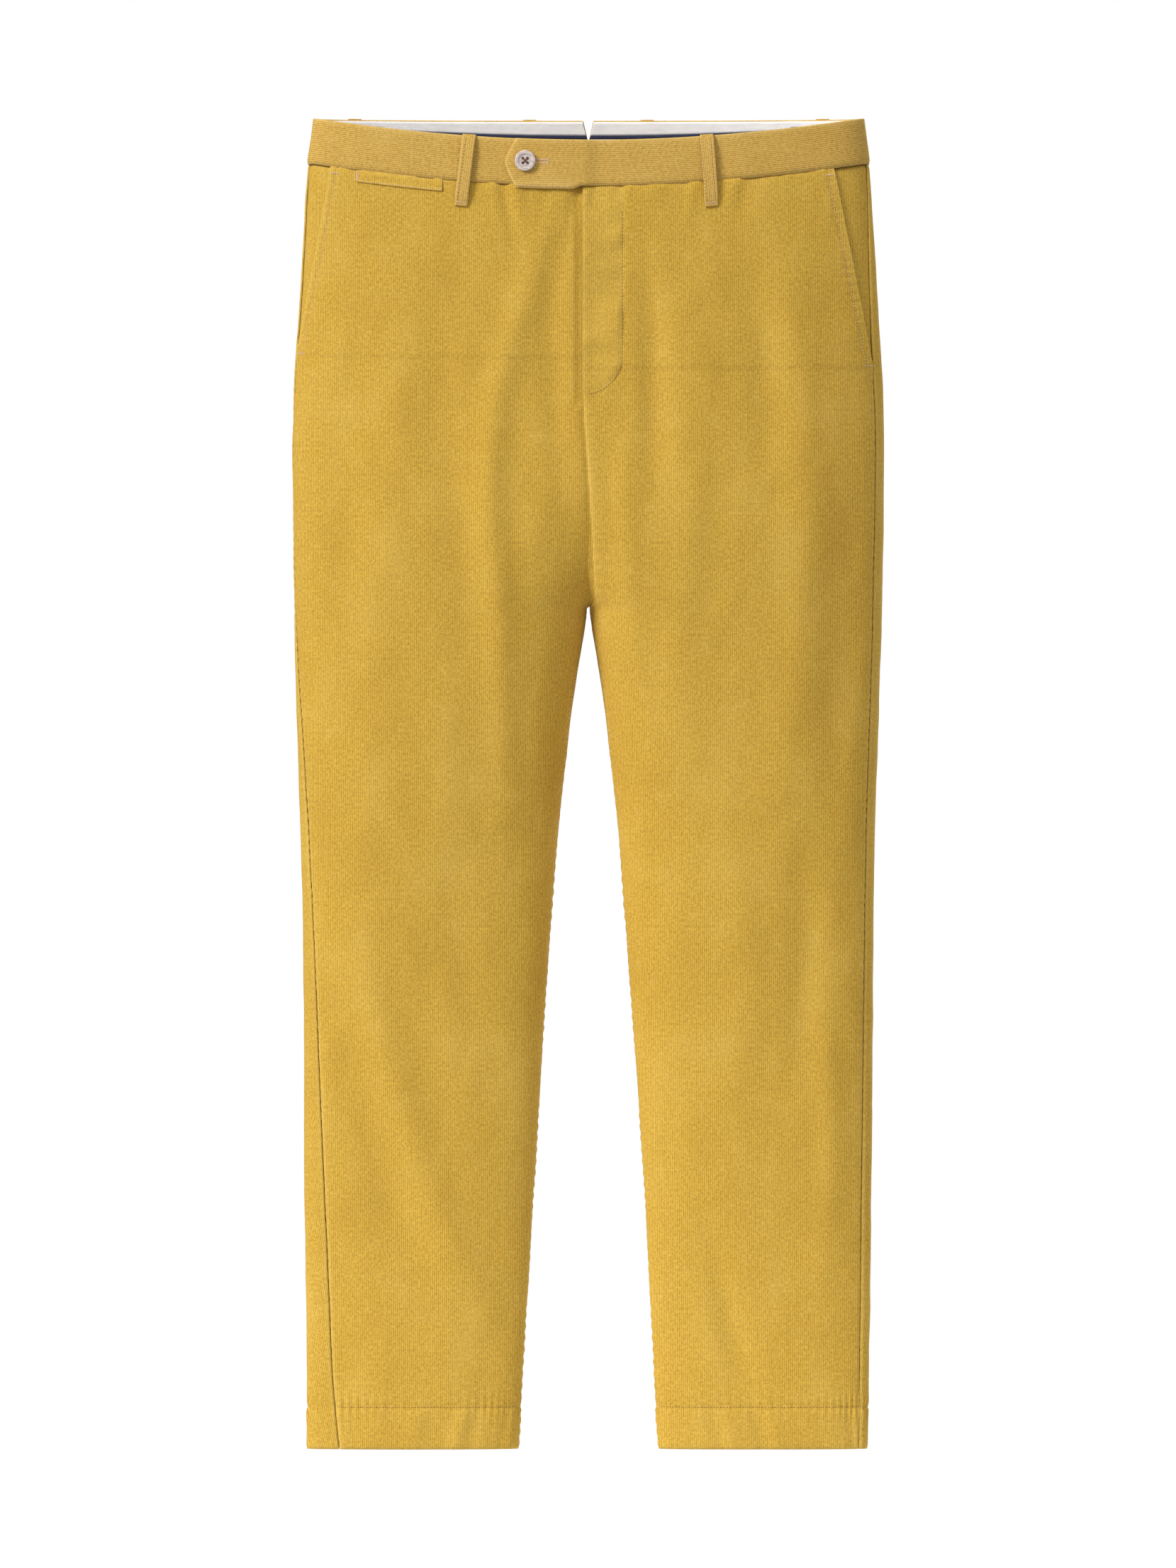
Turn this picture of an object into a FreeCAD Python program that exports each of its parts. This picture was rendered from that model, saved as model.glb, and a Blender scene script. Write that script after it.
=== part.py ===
import FreeCAD, Part
import bisect
import math
import os

# Flat-front corduroy trousers, hanging from the waist as they are worn, buttoned and zipped.
# Millimetres, +Z up, -Y is the wearer's front and +X the wearer's left. The origin is the middle
# of the waist opening, level with the top edge of the waistband at the sides and back.
# Each cloth piece is a thin solid that follows one garment surface. A place on that surface is a
# "level", which is the height before the front of the waist dips, and either x or the angle
# "theta" around one leg: 0 at the inseam or centre front, pi at the side, 2 pi at the back.

# ---- driving dimensions
OUTSEAM = 1069.0            # waistband top to hem, down the side
WAIST_HALF = 221.0          # half the width of the closed waistband
SEAT_HALF = 238.5           # half the width at the seat
HEM_OUTER = 225.0           # outer edge of a hem, from the middle
HEM_INNER = 56.7            # inner edge of a hem, from the middle
FORK = -393.0               # where the legs part
KNEE = -690.0               # where the legs fold
FRONT_DIP = 18.8            # how far the front of the waist lies below the back
BAND = 36.5                 # height of the waistband
CLOTH = 1.4                 # thickness of the corduroy
LINING = 1.0                # thickness of the cotton inside
SEAM_GAP = 0.4              # half the gap left between pieces that are sewn edge to edge
KNEE_GAP = 0.5              # half the gap between the upper and lower piece of one panel

# (height, value) profiles of the closed garment, highest first
OUTER = [(0, WAIST_HALF), (-40, 226), (-130, 232), (-269, SEAT_HALF), (-406, 236.5),
         (-590, 231), (-760, 228.5), (-OUTSEAM, HEM_OUTER)]
INNER = [(FORK, SEAM_GAP), (-406, 1.6), (-450, 9), (-497, 15.6), (-588, 25.5), (-680, 32),
         (-770, 38.5), (-860, 44.5), (-953, 50), (-OUTSEAM, HEM_INNER)]
FRONT_DEPTH = [(0, 34), (-60, 38), (-230, 46), (-330, 50), (-450, 46), (-600, 38), (KNEE, 33),
               (-900, 23), (-OUTSEAM, 17)]
BACK_DEPTH = [(0, 36), (-100, 48), (-230, 66), (-330, 66), (-450, 54), (-600, 42), (KNEE, 36),
              (-900, 25), (-OUTSEAM, 19)]
CREST = [(-120, 0.0), (FORK, 0.36), (-560, 0.5)]      # where across a half the section is deepest
ROUNDNESS = 2.3             # superellipse power of every section
RISE_TOP = -230.0           # where the crotch seam starts to curve under
RISE_ROUNDNESS = 2.6
DIP_FADES = (-40.0, -230.0)  # levels between which the front dip fades out

# ---- levels of the main seams
BAND_SEAM = -BAND
FLY_END = -223.0
FLY_EDGE = -5.0             # the fly's edge, just past the middle onto the wearer's right
FLY_WIDTH = 32.0
HEM_HEIGHT = 34.0
POCKET_TOP_X = {1: 197.0, -1: 207.0}      # where each slash pocket leaves the waistband
POCKET_END = {1: -200.0, -1: -190.0}      # where it reaches the side seam

ROW_STEPS = 48              # how finely a row is measured to space its points evenly
LEFT, RIGHT = 1, -1
NAMES = {LEFT: "left", RIGHT: "right"}
FORE, AFT = True, False


def smooth(points, at):
    """A monotone curve through (height, value) points."""
    if at >= points[0][0]:
        return points[0][1]
    if at <= points[-1][0]:
        return points[-1][1]
    slopes = [(b[1] - a[1]) / (b[0] - a[0]) for a, b in zip(points, points[1:])]
    inner = [2 * a * b / (a + b) if a * b > 0 else 0.0 for a, b in zip(slopes, slopes[1:])]
    tangents = [slopes[0]] + inner + [slopes[-1]]
    i = next(k for k in range(len(slopes)) if at >= points[k + 1][0])
    (z0, v0), (z1, v1) = points[i], points[i + 1]
    h = z1 - z0
    t = (at - z0) / h
    return (v0 * (1 + 2 * t) * (1 - t) ** 2 + v1 * t * t * (3 - 2 * t)
            + h * tangents[i] * t * (1 - t) ** 2 - h * tangents[i + 1] * t * t * (1 - t))


def centre_share(z):
    """How deep the section is on the centre seam: 1 above the rise, 0 where the legs part."""
    t = (RISE_TOP - z) / (RISE_TOP - FORK)
    if t <= 0:
        return 1.0
    return 0.0 if t >= 1 else (1 - t ** RISE_ROUNDNESS) ** (1 / RISE_ROUNDNESS)


def bulge(s, z):
    """Depth of the section as a share of its greatest, at s from 0 (inner edge) to 1 (side)."""
    crest, middle, power = smooth(CREST, z), centre_share(z), ROUNDNESS
    if s >= crest:
        t = (s - crest) / (1 - crest)
    elif middle >= 1:
        t = 0.0
    else:
        t = (crest - s) / crest * (1 - middle ** power) ** (1 / power)
    return max(0.0, 1 - min(t, 1.0) ** power) ** (1 / power)


def dip(x, level):
    """How far the front of the garment drops at x."""
    low, high = DIP_FADES[1], DIP_FADES[0]
    t = min(1.0, max(0.0, (level - low) / (high - low)))
    return -FRONT_DIP * max(0.0, 1 - (x / WAIST_HALF) ** 2) * t * t * (3 - 2 * t)


def half_point(theta, level):
    """A point of the left half's surface."""
    z = level
    for _ in range(3):
        inner, outer = smooth(INNER, z), smooth(OUTER, z)
        x = (inner + outer) / 2 - (outer - inner) / 2 * math.cos(theta)
        z = level + (dip(x, level) if theta < math.pi else 0.0)
    depth = -smooth(FRONT_DEPTH, z) if theta < math.pi else smooth(BACK_DEPTH, z)
    return FreeCAD.Vector(x, depth * bulge((x - inner) / (outer - inner), z), z)


def on_surface(side, theta, level):
    """A point of the garment's outer surface, and the direction out of it."""
    full = 2 * math.pi
    point = half_point(theta, level)
    step = 0.06
    along = half_point(min(theta + step, full), level) - half_point(max(theta - step, 0.0), level)
    up = FreeCAD.Vector(0, 0, 1)
    if level > FORK + 0.5:
        up = half_point(theta, level + 0.5) - half_point(theta, level - 0.5)
    else:
        along.z = 0
    out = along.cross(up).normalize()
    return FreeCAD.Vector(side * point.x, point.y, point.z), FreeCAD.Vector(side * out.x, out.y, out.z)


def theta_at(x, level, front):
    """The angle of the point at x, which is measured on the left half."""
    inner, outer = smooth(INNER, level), smooth(OUTER, level)
    share = ((inner + outer) / 2 - min(max(x, inner), outer)) / ((outer - inner) / 2)
    theta = math.acos(max(-1.0, min(1.0, share)))
    return theta if front else 2 * math.pi - theta


def value(v, level):
    return v(level) if callable(v) else v


def even_row(point_at, count):
    """Evenly spaced surface points along a row. point_at gives the one at a share of the row."""
    shares = [(1 - math.cos(math.pi * i / ROW_STEPS)) / 2 for i in range(ROW_STEPS + 1)]
    points = [point_at(share)[0] for share in shares]
    run = [0.0]
    for a, b in zip(points, points[1:]):
        run.append(run[-1] + (b - a).Length)
    row = []
    for i in range(count):
        target = run[-1] * i / (count - 1)
        k = min(bisect.bisect_right(run, target), ROW_STEPS) - 1
        within = (target - run[k]) / (run[k + 1] - run[k])
        row.append(point_at(shares[k] + (shares[k + 1] - shares[k]) * within))
    return row


def face_rows(front, levels, x0, x1, side=LEFT, count=9):
    """Rows of surface points across the front or back, from x0 to x1. On the right side, x is
    mirrored. x may cross the middle."""
    rows = []
    for level in levels:
        def point_at(share, level=level, a=value(x0, level), b=value(x1, level)):
            x = a + (b - a) * share
            return on_surface(side if x >= 0 else -side, theta_at(abs(x), level, front), level)
        rows.append(even_row(point_at, count))
    return rows


def around_rows(side, levels, start, end, count=15):
    """Rows of surface points around one half, between two angles."""
    rows = []
    for level in levels:
        def point_at(share, level=level, a=value(start, level), b=value(end, level)):
            return on_surface(side, a + (b - a) * share, level)
        rows.append(even_row(point_at, count))
    return rows


def line(a, b):
    return Part.LineSegment(a, b).toBSpline()


def curve(points):
    """A spline through evenly spaced points."""
    if len(points) == 2:
        return line(points[0], points[1])
    spline = Part.BSplineCurve()
    spline.interpolate(Points=points, Parameters=[i / (len(points) - 1) for i in range(len(points))])
    return spline


def ruled(a, b):
    """The straight-ruled face between two curves with the same knots."""
    surface = Part.BSplineSurface()
    surface.buildFromPolesMultsKnots([a.getPoles(), b.getPoles()], [2, 2], a.getMultiplicities(),
                                     [0, 1], a.getKnots(), False, False, 1, a.Degree)
    return surface.toShape()


def lamina(rows, inside, outside):
    """The solid between two offsets of the surface. An offset is a number, one per row, or a
    function of x."""
    layers = []
    for offset in (inside, outside):
        by_row = offset if isinstance(offset, (list, tuple)) else [offset] * len(rows)
        layers.append([[p + n * value(d, p.x) for p, n in row] for row, d in zip(rows, by_row)])
    faces = []
    for layer in layers:
        curves = [curve(points) for points in layer]
        faces += [ruled(a, b) for a, b in zip(curves, curves[1:])]
    for k in (0, -1):
        faces.append(ruled(curve(layers[0][k]), curve(layers[1][k])))
        walls = [line(low[k], high[k]) for low, high in zip(*layers)]
        faces += [ruled(a, b) for a, b in zip(walls, walls[1:])]
    shell = Part.makeShell(faces)
    shell.sewShape()
    solid = Part.Solid(shell.Shells[0])
    if solid.Volume < 0:
        solid.reverse()
    return solid


def spread(top, bottom, count):
    return [top + (bottom - top) * i / (count - 1) for i in range(count)]


def save(name, *solids):
    shape = solids[0] if len(solids) == 1 else Part.makeCompound(list(solids))
    for solid in shape.Solids:
        if not solid.isValid() or solid.Volume <= 0:
            print("not a good solid:", name, round(solid.Volume, 3))
    shape.exportStep("parts/" + name + ".step")


# ---- panels

UPPER_LEVELS = [-60, -84, -100, -130, -170, -200, -230, -280, -320, -350, -370, -383, -390, FORK,
                -410, -450, -500, -560, -620, KNEE + KNEE_GAP]
LOWER_LEVELS = spread(KNEE - KNEE_GAP, -OUTSEAM, 12)
FRONT_COLUMNS, UPPER_BACK_COLUMNS, LOWER_BACK_COLUMNS = 13, 17, 29
TOP_LEVEL = BAND_SEAM - 0.3


def side_seam(side):
    """x of the side seam. It rolls forward a little all down the left leg, and towards the hem on
    the right leg."""
    shift = {LEFT: [(BAND_SEAM, 1.5), (-200, 7.0), (-OUTSEAM, 7.5)],
             RIGHT: [(-390, 0.5), (-930, 17.5), (-1009, 20.0), (-OUTSEAM, 25.0)]}[side]
    return lambda level: smooth(OUTER, level) - smooth(shift, level)


def slash(side):
    """x of the slash pocket's edge."""
    seam = side_seam(side)

    def edge(level):
        t = (level - BAND_SEAM) / (POCKET_END[side] - BAND_SEAM)
        start, end = POCKET_TOP_X[side], seam(POCKET_END[side])
        return start + (end - start) * t if t < 1 else seam(level) - SEAM_GAP
    return edge


def inner_edge(side):
    """x of a front panel's inner edge: the fly above its end, and the centre seam below."""
    at_fly = FLY_EDGE + SEAM_GAP if side == LEFT else -FLY_EDGE + SEAM_GAP
    fly = [(FLY_END - 6, at_fly), (FLY_END - 18, SEAM_GAP)]
    return lambda level: smooth(fly, level) if level > FORK else smooth(INNER, level)


def panels():
    for side in (LEFT, RIGHT):
        name, seam = NAMES[side], side_seam(side)

        def seam_angle(level, seam=seam):
            return theta_at(seam(level) + SEAM_GAP / 2, level, FORE)

        levels = sorted({*UPPER_LEVELS, TOP_LEVEL, POCKET_END[side], FLY_END - 6, FLY_END - 18},
                        reverse=True)
        rows = face_rows(FORE, levels, inner_edge(side), slash(side), side, FRONT_COLUMNS)
        save("front_panel_%s_upper" % name, lamina(rows, -CLOTH, 0))
        rows = face_rows(FORE, LOWER_LEVELS, inner_edge(side),
                         lambda level: seam(level) - SEAM_GAP, side, FRONT_COLUMNS)
        save("front_panel_%s_lower" % name, lamina(rows, -CLOTH, 0))
        end = 2 * math.pi - 0.004
        rows = around_rows(side, [TOP_LEVEL] + UPPER_LEVELS, seam_angle, end, UPPER_BACK_COLUMNS)
        save("back_panel_%s_upper" % name, lamina(rows, -CLOTH, 0))
        rows = around_rows(side, LOWER_LEVELS, seam_angle, end, LOWER_BACK_COLUMNS)
        save("back_panel_%s_lower" % name, lamina(rows, -CLOTH, 0))
        rows = around_rows(side, [-OUTSEAM + HEM_HEIGHT, -OUTSEAM + HEM_HEIGHT / 2, -OUTSEAM + 0.6],
                           0.03, 2 * math.pi - 0.03, 33)
        save("hem_turnup_%s" % name, lamina(rows, -CLOTH - 1.5, -CLOTH - 0.5))


# ---- waistband

BAND_OUT = 0.8              # the waistband stands this far proud of the panels
BAND_IN = -1.2
NOTCH_HALF = 3.8            # half the width of the split at the centre back
NOTCH_LEVEL = -16.0         # how far down it reaches
TAB_END = -66.5
TAB_TIP = 9.0               # how far the tab's point reaches past its upper and lower corners
TAB_DROP = -40.0            # level of the tab's lower edge
TAB_IN, TAB_OUT = 1.1, 2.7
TAB_RISE = (-4.0, -26.0)    # x from which, and to which, the lower edge drops to the tab's
TAB_STEP = (20.0, -3.0)     # x between which the band climbs to lie over its other half
LEFT_COLUMNS, BAND_COLUMNS = 49, 43
BUTTON_X, BUTTON_LEVEL = -50.2, -17.5
BUTTONHOLE = 18.0
HOLE_EDGE = 4.7             # from the button's middle to where the sewn edge of its hole begins
SHANK = 1.3                 # radius of the thread under the waist button


def back_edge(level):
    """Angle at which a half of the waistband ends, beside the notch or the centre back seam."""
    half = NOTCH_HALF * max(0.0, 1 - level / NOTCH_LEVEL) + SEAM_GAP
    return theta_at(half, level, AFT)


def front_point(x, level):
    """The point of the front surface at a signed x."""
    return on_surface(LEFT if x >= 0 else RIGHT, theta_at(abs(x), level, FORE), level)[0]


def ramp(x, start, end):
    """0 at start, 1 at end, and smooth between."""
    share = max(0.0, min(1.0, (x - start) / (end - start)))
    return share * share * (3 - 2 * share)


def tab_tip(level):
    return TAB_END + TAB_TIP * abs(level / (BAND_SEAM / 2) - 1) ** 1.3


def left_band_rows(levels, tab_levels):
    """Rows from the tab's tip, across the middle and round to the centre back."""
    rows = []
    for level, tab_level in zip(levels, tab_levels):
        def point_at(share, level=level, tab_level=tab_level):
            tip = -theta_at(-tab_tip(tab_level), tab_level, FORE)
            theta = tip + (back_edge(level) - tip) * share
            side = LEFT if theta >= 0 else RIGHT
            x = side * half_point(abs(theta), level).x if theta < 1 else SEAT_HALF
            here = level + (tab_level - level) * ramp(x, *TAB_RISE)
            return on_surface(side, abs(theta), here)
        rows.append(even_row(point_at, LEFT_COLUMNS))
    return rows


def left_band(levels):
    """The left half of the waistband, which ends in the pointed tab with its buttonhole."""
    def lifted(band_offset, tab_offset):
        return lambda x: band_offset + (tab_offset - band_offset) * ramp(x, *TAB_STEP)
    rows = left_band_rows(levels, [0.5, -9, BAND_SEAM / 2, -27, TAB_DROP])
    band = lamina(rows, lifted(BAND_IN, TAB_IN), lifted(BAND_OUT, TAB_OUT))
    centre = front_point(BUTTON_X, BUTTON_LEVEL)
    slit = Part.makeBox(BUTTONHOLE, 12, 1.3, FreeCAD.Vector(centre.x, centre.y - 8, centre.z - 0.65))
    keyhole = Part.makeCylinder(SHANK + 0.5, 12, FreeCAD.Vector(centre.x, centre.y - 8, centre.z),
                                FreeCAD.Vector(0, 1, 0))
    return band.cut(slit.fuse(keyhole))


def waistband():
    levels = [0, -8, NOTCH_LEVEL, -26, BAND_SEAM]
    for side in (LEFT, RIGHT):
        name = NAMES[side]
        if side == LEFT:
            save("waistband_left", left_band(levels))
        else:
            rows = around_rows(side, levels, lambda level: theta_at(SEAM_GAP - FLY_EDGE, level, FORE),
                               back_edge, BAND_COLUMNS)
            save("waistband_right", lamina(rows, BAND_IN, BAND_OUT))
        strip = [-1.2, -8, -14.8]
        fore = {LEFT: 3.0, RIGHT: 12.0}[side]
        rows = around_rows(side, strip, lambda level: theta_at(fore, level, FORE),
                           lambda level: back_edge(level) - 0.03, BAND_COLUMNS)
        save("waistband_lining_%s" % name, lamina(rows, BAND_IN - LINING - 0.5, BAND_IN - 0.5))
        rows = around_rows(side, [-15.1, -17.1], lambda level: theta_at(fore, level, FORE),
                           2 * math.pi - 0.06, BAND_COLUMNS)
        save("waistband_piping_%s" % name, lamina(rows, BAND_IN - 2.3, BAND_IN - 0.5))
        rows = around_rows(side, [-17.4, -36, -58], lambda level: theta_at(fore + 24, level, FORE),
                           2 * math.pi - 0.06, BAND_COLUMNS)
        save("waist_curtain_%s" % name, lamina(rows, -4.6, -3.6))


LOOP_HALF = 5.3             # half the width of a belt loop
LOOP_THICK = 1.5
LOOP_END = -57.0
# (level, clearance) down a loop: its ends are sewn down and its middle stands clear for the belt
LOOP_CLEAR = [(0.6, 1.0), (-4, 1.0), (-9, 2.6), (-24, 3.2), (-40, 3.0), (-48, 1.6), (-54, 0.15),
              (LOOP_END, 0.15)]
# x of each loop's top, the face it is on, its side, and how far its foot leans outwards
LOOPS = {"front_left": (94.0, FORE, LEFT, 4.4), "front_right": (94.3, FORE, RIGHT, 7.5),
         "side_left": (188.0, AFT, LEFT, 0.0), "side_right": (188.0, AFT, RIGHT, 0.0),
         "back_left": (47.0, AFT, LEFT, 0.0), "back_right": (47.0, AFT, RIGHT, 0.0)}


def belt_loops():
    levels = [level for level, _ in LOOP_CLEAR]
    clear = [gap for _, gap in LOOP_CLEAR]
    for name, (top, face, side, lean) in LOOPS.items():
        def edge(level, out, top=top, lean=lean):
            return top + lean * level / LOOP_END + out * LOOP_HALF
        rows = face_rows(face, levels, lambda level: edge(level, -1), lambda level: edge(level, 1),
                         side, 3)
        save("belt_loop_" + name, lamina(rows, clear, [gap + LOOP_THICK for gap in clear]))


# ---- buttons

def button(centre, radius, thick, spread_of_holes, hole):
    """A four-hole button with a raised rim, lying against -Y of centre."""
    toward = FreeCAD.Vector(0, -1, 0)
    disc = Part.makeCylinder(radius, thick, centre, toward)
    rounded = [e for e in disc.Edges if e.Curve.TypeId == "Part::GeomCircle"]
    disc = disc.makeFillet(thick * 0.3, rounded)
    dish = Part.makeCone(radius * 0.62, radius * 0.7, thick * 0.25,
                         centre + toward * (thick * 0.76), toward)
    disc = disc.cut(dish)
    for dx in (-spread_of_holes, spread_of_holes):
        for dz in (-spread_of_holes, spread_of_holes):
            at = centre + FreeCAD.Vector(dx, 1, dz)
            disc = disc.cut(Part.makeCylinder(hole, thick + 2, at, toward))
    return disc


def button_thread(centre, thick, spread_of_holes, hole, shank_radius, shank_length):
    """Thread through the four holes, crossed on top, on a wound shank."""
    toward = FreeCAD.Vector(0, -1, 0)
    parts = [Part.makeCylinder(shank_radius, shank_length, centre - toward * (shank_length + 0.05),
                               toward)]
    top = thick * 0.76 + 0.05
    for dx in (-spread_of_holes, spread_of_holes):
        for dz in (-spread_of_holes, spread_of_holes):
            at = centre + FreeCAD.Vector(dx, 0.4, dz)
            parts.append(Part.makeCylinder(hole * 0.7, top + 0.8, at, toward))
    reach = spread_of_holes * math.sqrt(2) + hole * 0.5
    for turn in (45, 135):
        bar = Part.makeBox(2 * reach, 0.5, 0.9, FreeCAD.Vector(-reach, -0.25, -0.45))
        bar.rotate(FreeCAD.Vector(0, 0, 0), FreeCAD.Vector(0, 1, 0), turn)
        bar.translate(centre + toward * (top + 0.3))
        parts.append(bar)
    pad = Part.makeCylinder(spread_of_holes * 1.5, 0.35, centre - toward * 0.4, toward)
    return parts[0].fuse(parts[1:] + [pad]).removeSplitter()


WAIST_BUTTON = dict(radius=8.3, thick=3.0, spread_of_holes=1.9, hole=1.05)
POCKET_BUTTON = dict(radius=7.2, thick=2.8, spread_of_holes=1.6, hole=0.9)
POCKET_BUTTON_X, POCKET_BUTTON_LEVEL = 124.0, -113.0


def buttons():
    centre = front_point(BUTTON_X, BUTTON_LEVEL)
    stand = TAB_OUT + 0.9
    seat = FreeCAD.Vector(centre.x, centre.y - stand, centre.z)
    save("waist_button", button(seat, **WAIST_BUTTON))
    sizes = {k: WAIST_BUTTON[k] for k in ("thick", "spread_of_holes", "hole")}
    save("waist_button_thread", button_thread(seat, shank_radius=SHANK,
                                              shank_length=stand - BAND_OUT - 0.15, **sizes))
    edge = lamina(face_rows(FORE, [BUTTON_LEVEL + 1.8, BUTTON_LEVEL - 1.8], centre.x + HOLE_EDGE,
                            centre.x + BUTTONHOLE + 1.6, LEFT, 5), TAB_OUT + 0.15, TAB_OUT + 0.45)
    hole = Part.makeBox(BUTTONHOLE, 3, 1.5, FreeCAD.Vector(centre.x - 0.4, centre.y - TAB_OUT - 2,
                                                           centre.z - 0.75))
    save("waist_buttonhole", edge.cut(hole))
    for side in (LEFT, RIGHT):
        theta = theta_at(POCKET_BUTTON_X, POCKET_BUTTON_LEVEL, AFT)
        point, out = on_surface(side, theta, POCKET_BUTTON_LEVEL)
        turn = FreeCAD.Rotation(FreeCAD.Vector(0, -1, 0), out)
        stand = 1.6
        seat = point + out * stand
        sizes = {k: POCKET_BUTTON[k] for k in ("thick", "spread_of_holes", "hole")}
        disc = button(FreeCAD.Vector(0, 0, 0), **POCKET_BUTTON)
        thread = button_thread(FreeCAD.Vector(0, 0, 0), shank_radius=1.1,
                               shank_length=stand - 0.4, **sizes)
        for shape in (disc, thread):
            shape.Placement = FreeCAD.Placement(seat, turn)
        save("back_pocket_button_%s" % NAMES[side], disc)
        save("back_pocket_thread_%s" % NAMES[side], thread)
        print("back pocket button", NAMES[side], [round(c, 5) for c in seat * 0.001],
              [round(c, 5) for c in out])
    print("waist button", [round(c, 5) for c in centre * 0.001])


# ---- fly and zip, drawn in the zip's own frame: x across, y into the garment, z up the zip

FLY_TOP = -56.0
ZIP_X = 8.0
ZIP_TOP, ZIP_BOTTOM = -56.0, -213.0
TOOTH_PITCH = 2.6
FIRST_TOOTH = 12.0          # from the top of the tapes to the first tooth
TEETH_DEPTH = 8.6           # from the front surface to the middle of the teeth
TAPE_FLAT = 6.4             # half the width that the slider needs flat
SLIDER = dict(half_width=4.4, length=11.0, plate=0.9, opening=2.3)
PULL_LENGTH = 22.0


def zip_line():
    """Top and bottom of the zip on the front surface."""
    top, _ = on_surface(LEFT, theta_at(ZIP_X, ZIP_TOP, FORE), ZIP_TOP)
    bottom, _ = on_surface(LEFT, theta_at(ZIP_X, ZIP_BOTTOM, FORE), ZIP_BOTTOM)
    return top, bottom


def place_on_zip(shape):
    top, bottom = zip_line()
    shape.Placement = FreeCAD.Placement(
        FreeCAD.Vector(ZIP_X, top.y, top.z),
        FreeCAD.Rotation(FreeCAD.Vector(0, 0, -1), FreeCAD.Vector(0, bottom.y - top.y, bottom.z - top.z)))
    return shape


def prism(points, low, high):
    wire = Part.makePolygon([FreeCAD.Vector(x, y, low) for x, y in points + points[:1]])
    return Part.Face(wire).extrude(FreeCAD.Vector(0, 0, high - low))


def zip_fastener():
    top, bottom = zip_line()
    run = (bottom - top).Length
    mid, flat = TEETH_DEPTH, TAPE_FLAT
    for side in (LEFT, RIGHT):
        reach = {LEFT: 16.0, RIGHT: 19.0}[side]
        sewn = {LEFT: 4.4, RIGHT: 3.2}[side]
        outline = [(side * 1.6, mid - 0.3), (side * flat, mid - 0.3), (side * reach, sewn - 0.3),
                   (side * reach, sewn + 0.3), (side * flat, mid + 0.3), (side * 1.6, mid + 0.3)]
        save("zip_tape_%s" % NAMES[side], place_on_zip(prism(outline, -run - 4, 8)))
        teeth = []
        shift = 0.0 if side == LEFT else TOOTH_PITCH / 2
        for k in range(int((run - FIRST_TOOTH - 4.0 - shift) / TOOTH_PITCH) + 2):
            z = -FIRST_TOOTH - shift - k * TOOTH_PITCH
            head = Part.makeBox(1.4, 1.6, 1.0, FreeCAD.Vector(-0.7, mid - 0.8, z))
            legs = Part.makeBox(2.4, 2.0, 1.0, FreeCAD.Vector(0.6, mid - 1.0, z))
            gap = Part.makeBox(2.6, 0.8, 2.0, FreeCAD.Vector(1.5, mid - 0.4, z - 0.5))
            tooth = head.fuse(legs).removeSplitter().cut(gap)
            if side == RIGHT:
                tooth = tooth.mirror(FreeCAD.Vector(0, 0, 0), FreeCAD.Vector(1, 0, 0))
            teeth.append(place_on_zip(tooth))
        save("zip_teeth_%s" % NAMES[side], *teeth)
    stop = Part.makeBox(6.0, 2.6, 3.0, FreeCAD.Vector(-3.0, mid - 1.3, -run - 2.6))
    slot = Part.makeBox(8.0, 0.9, 5.0, FreeCAD.Vector(1.2, mid - 0.45, -run - 4))
    other = Part.makeBox(8.0, 0.9, 5.0, FreeCAD.Vector(-9.2, mid - 0.45, -run - 4))
    save("zip_bottom_stop", place_on_zip(stop.cut(slot).cut(other)))
    slider()


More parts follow.
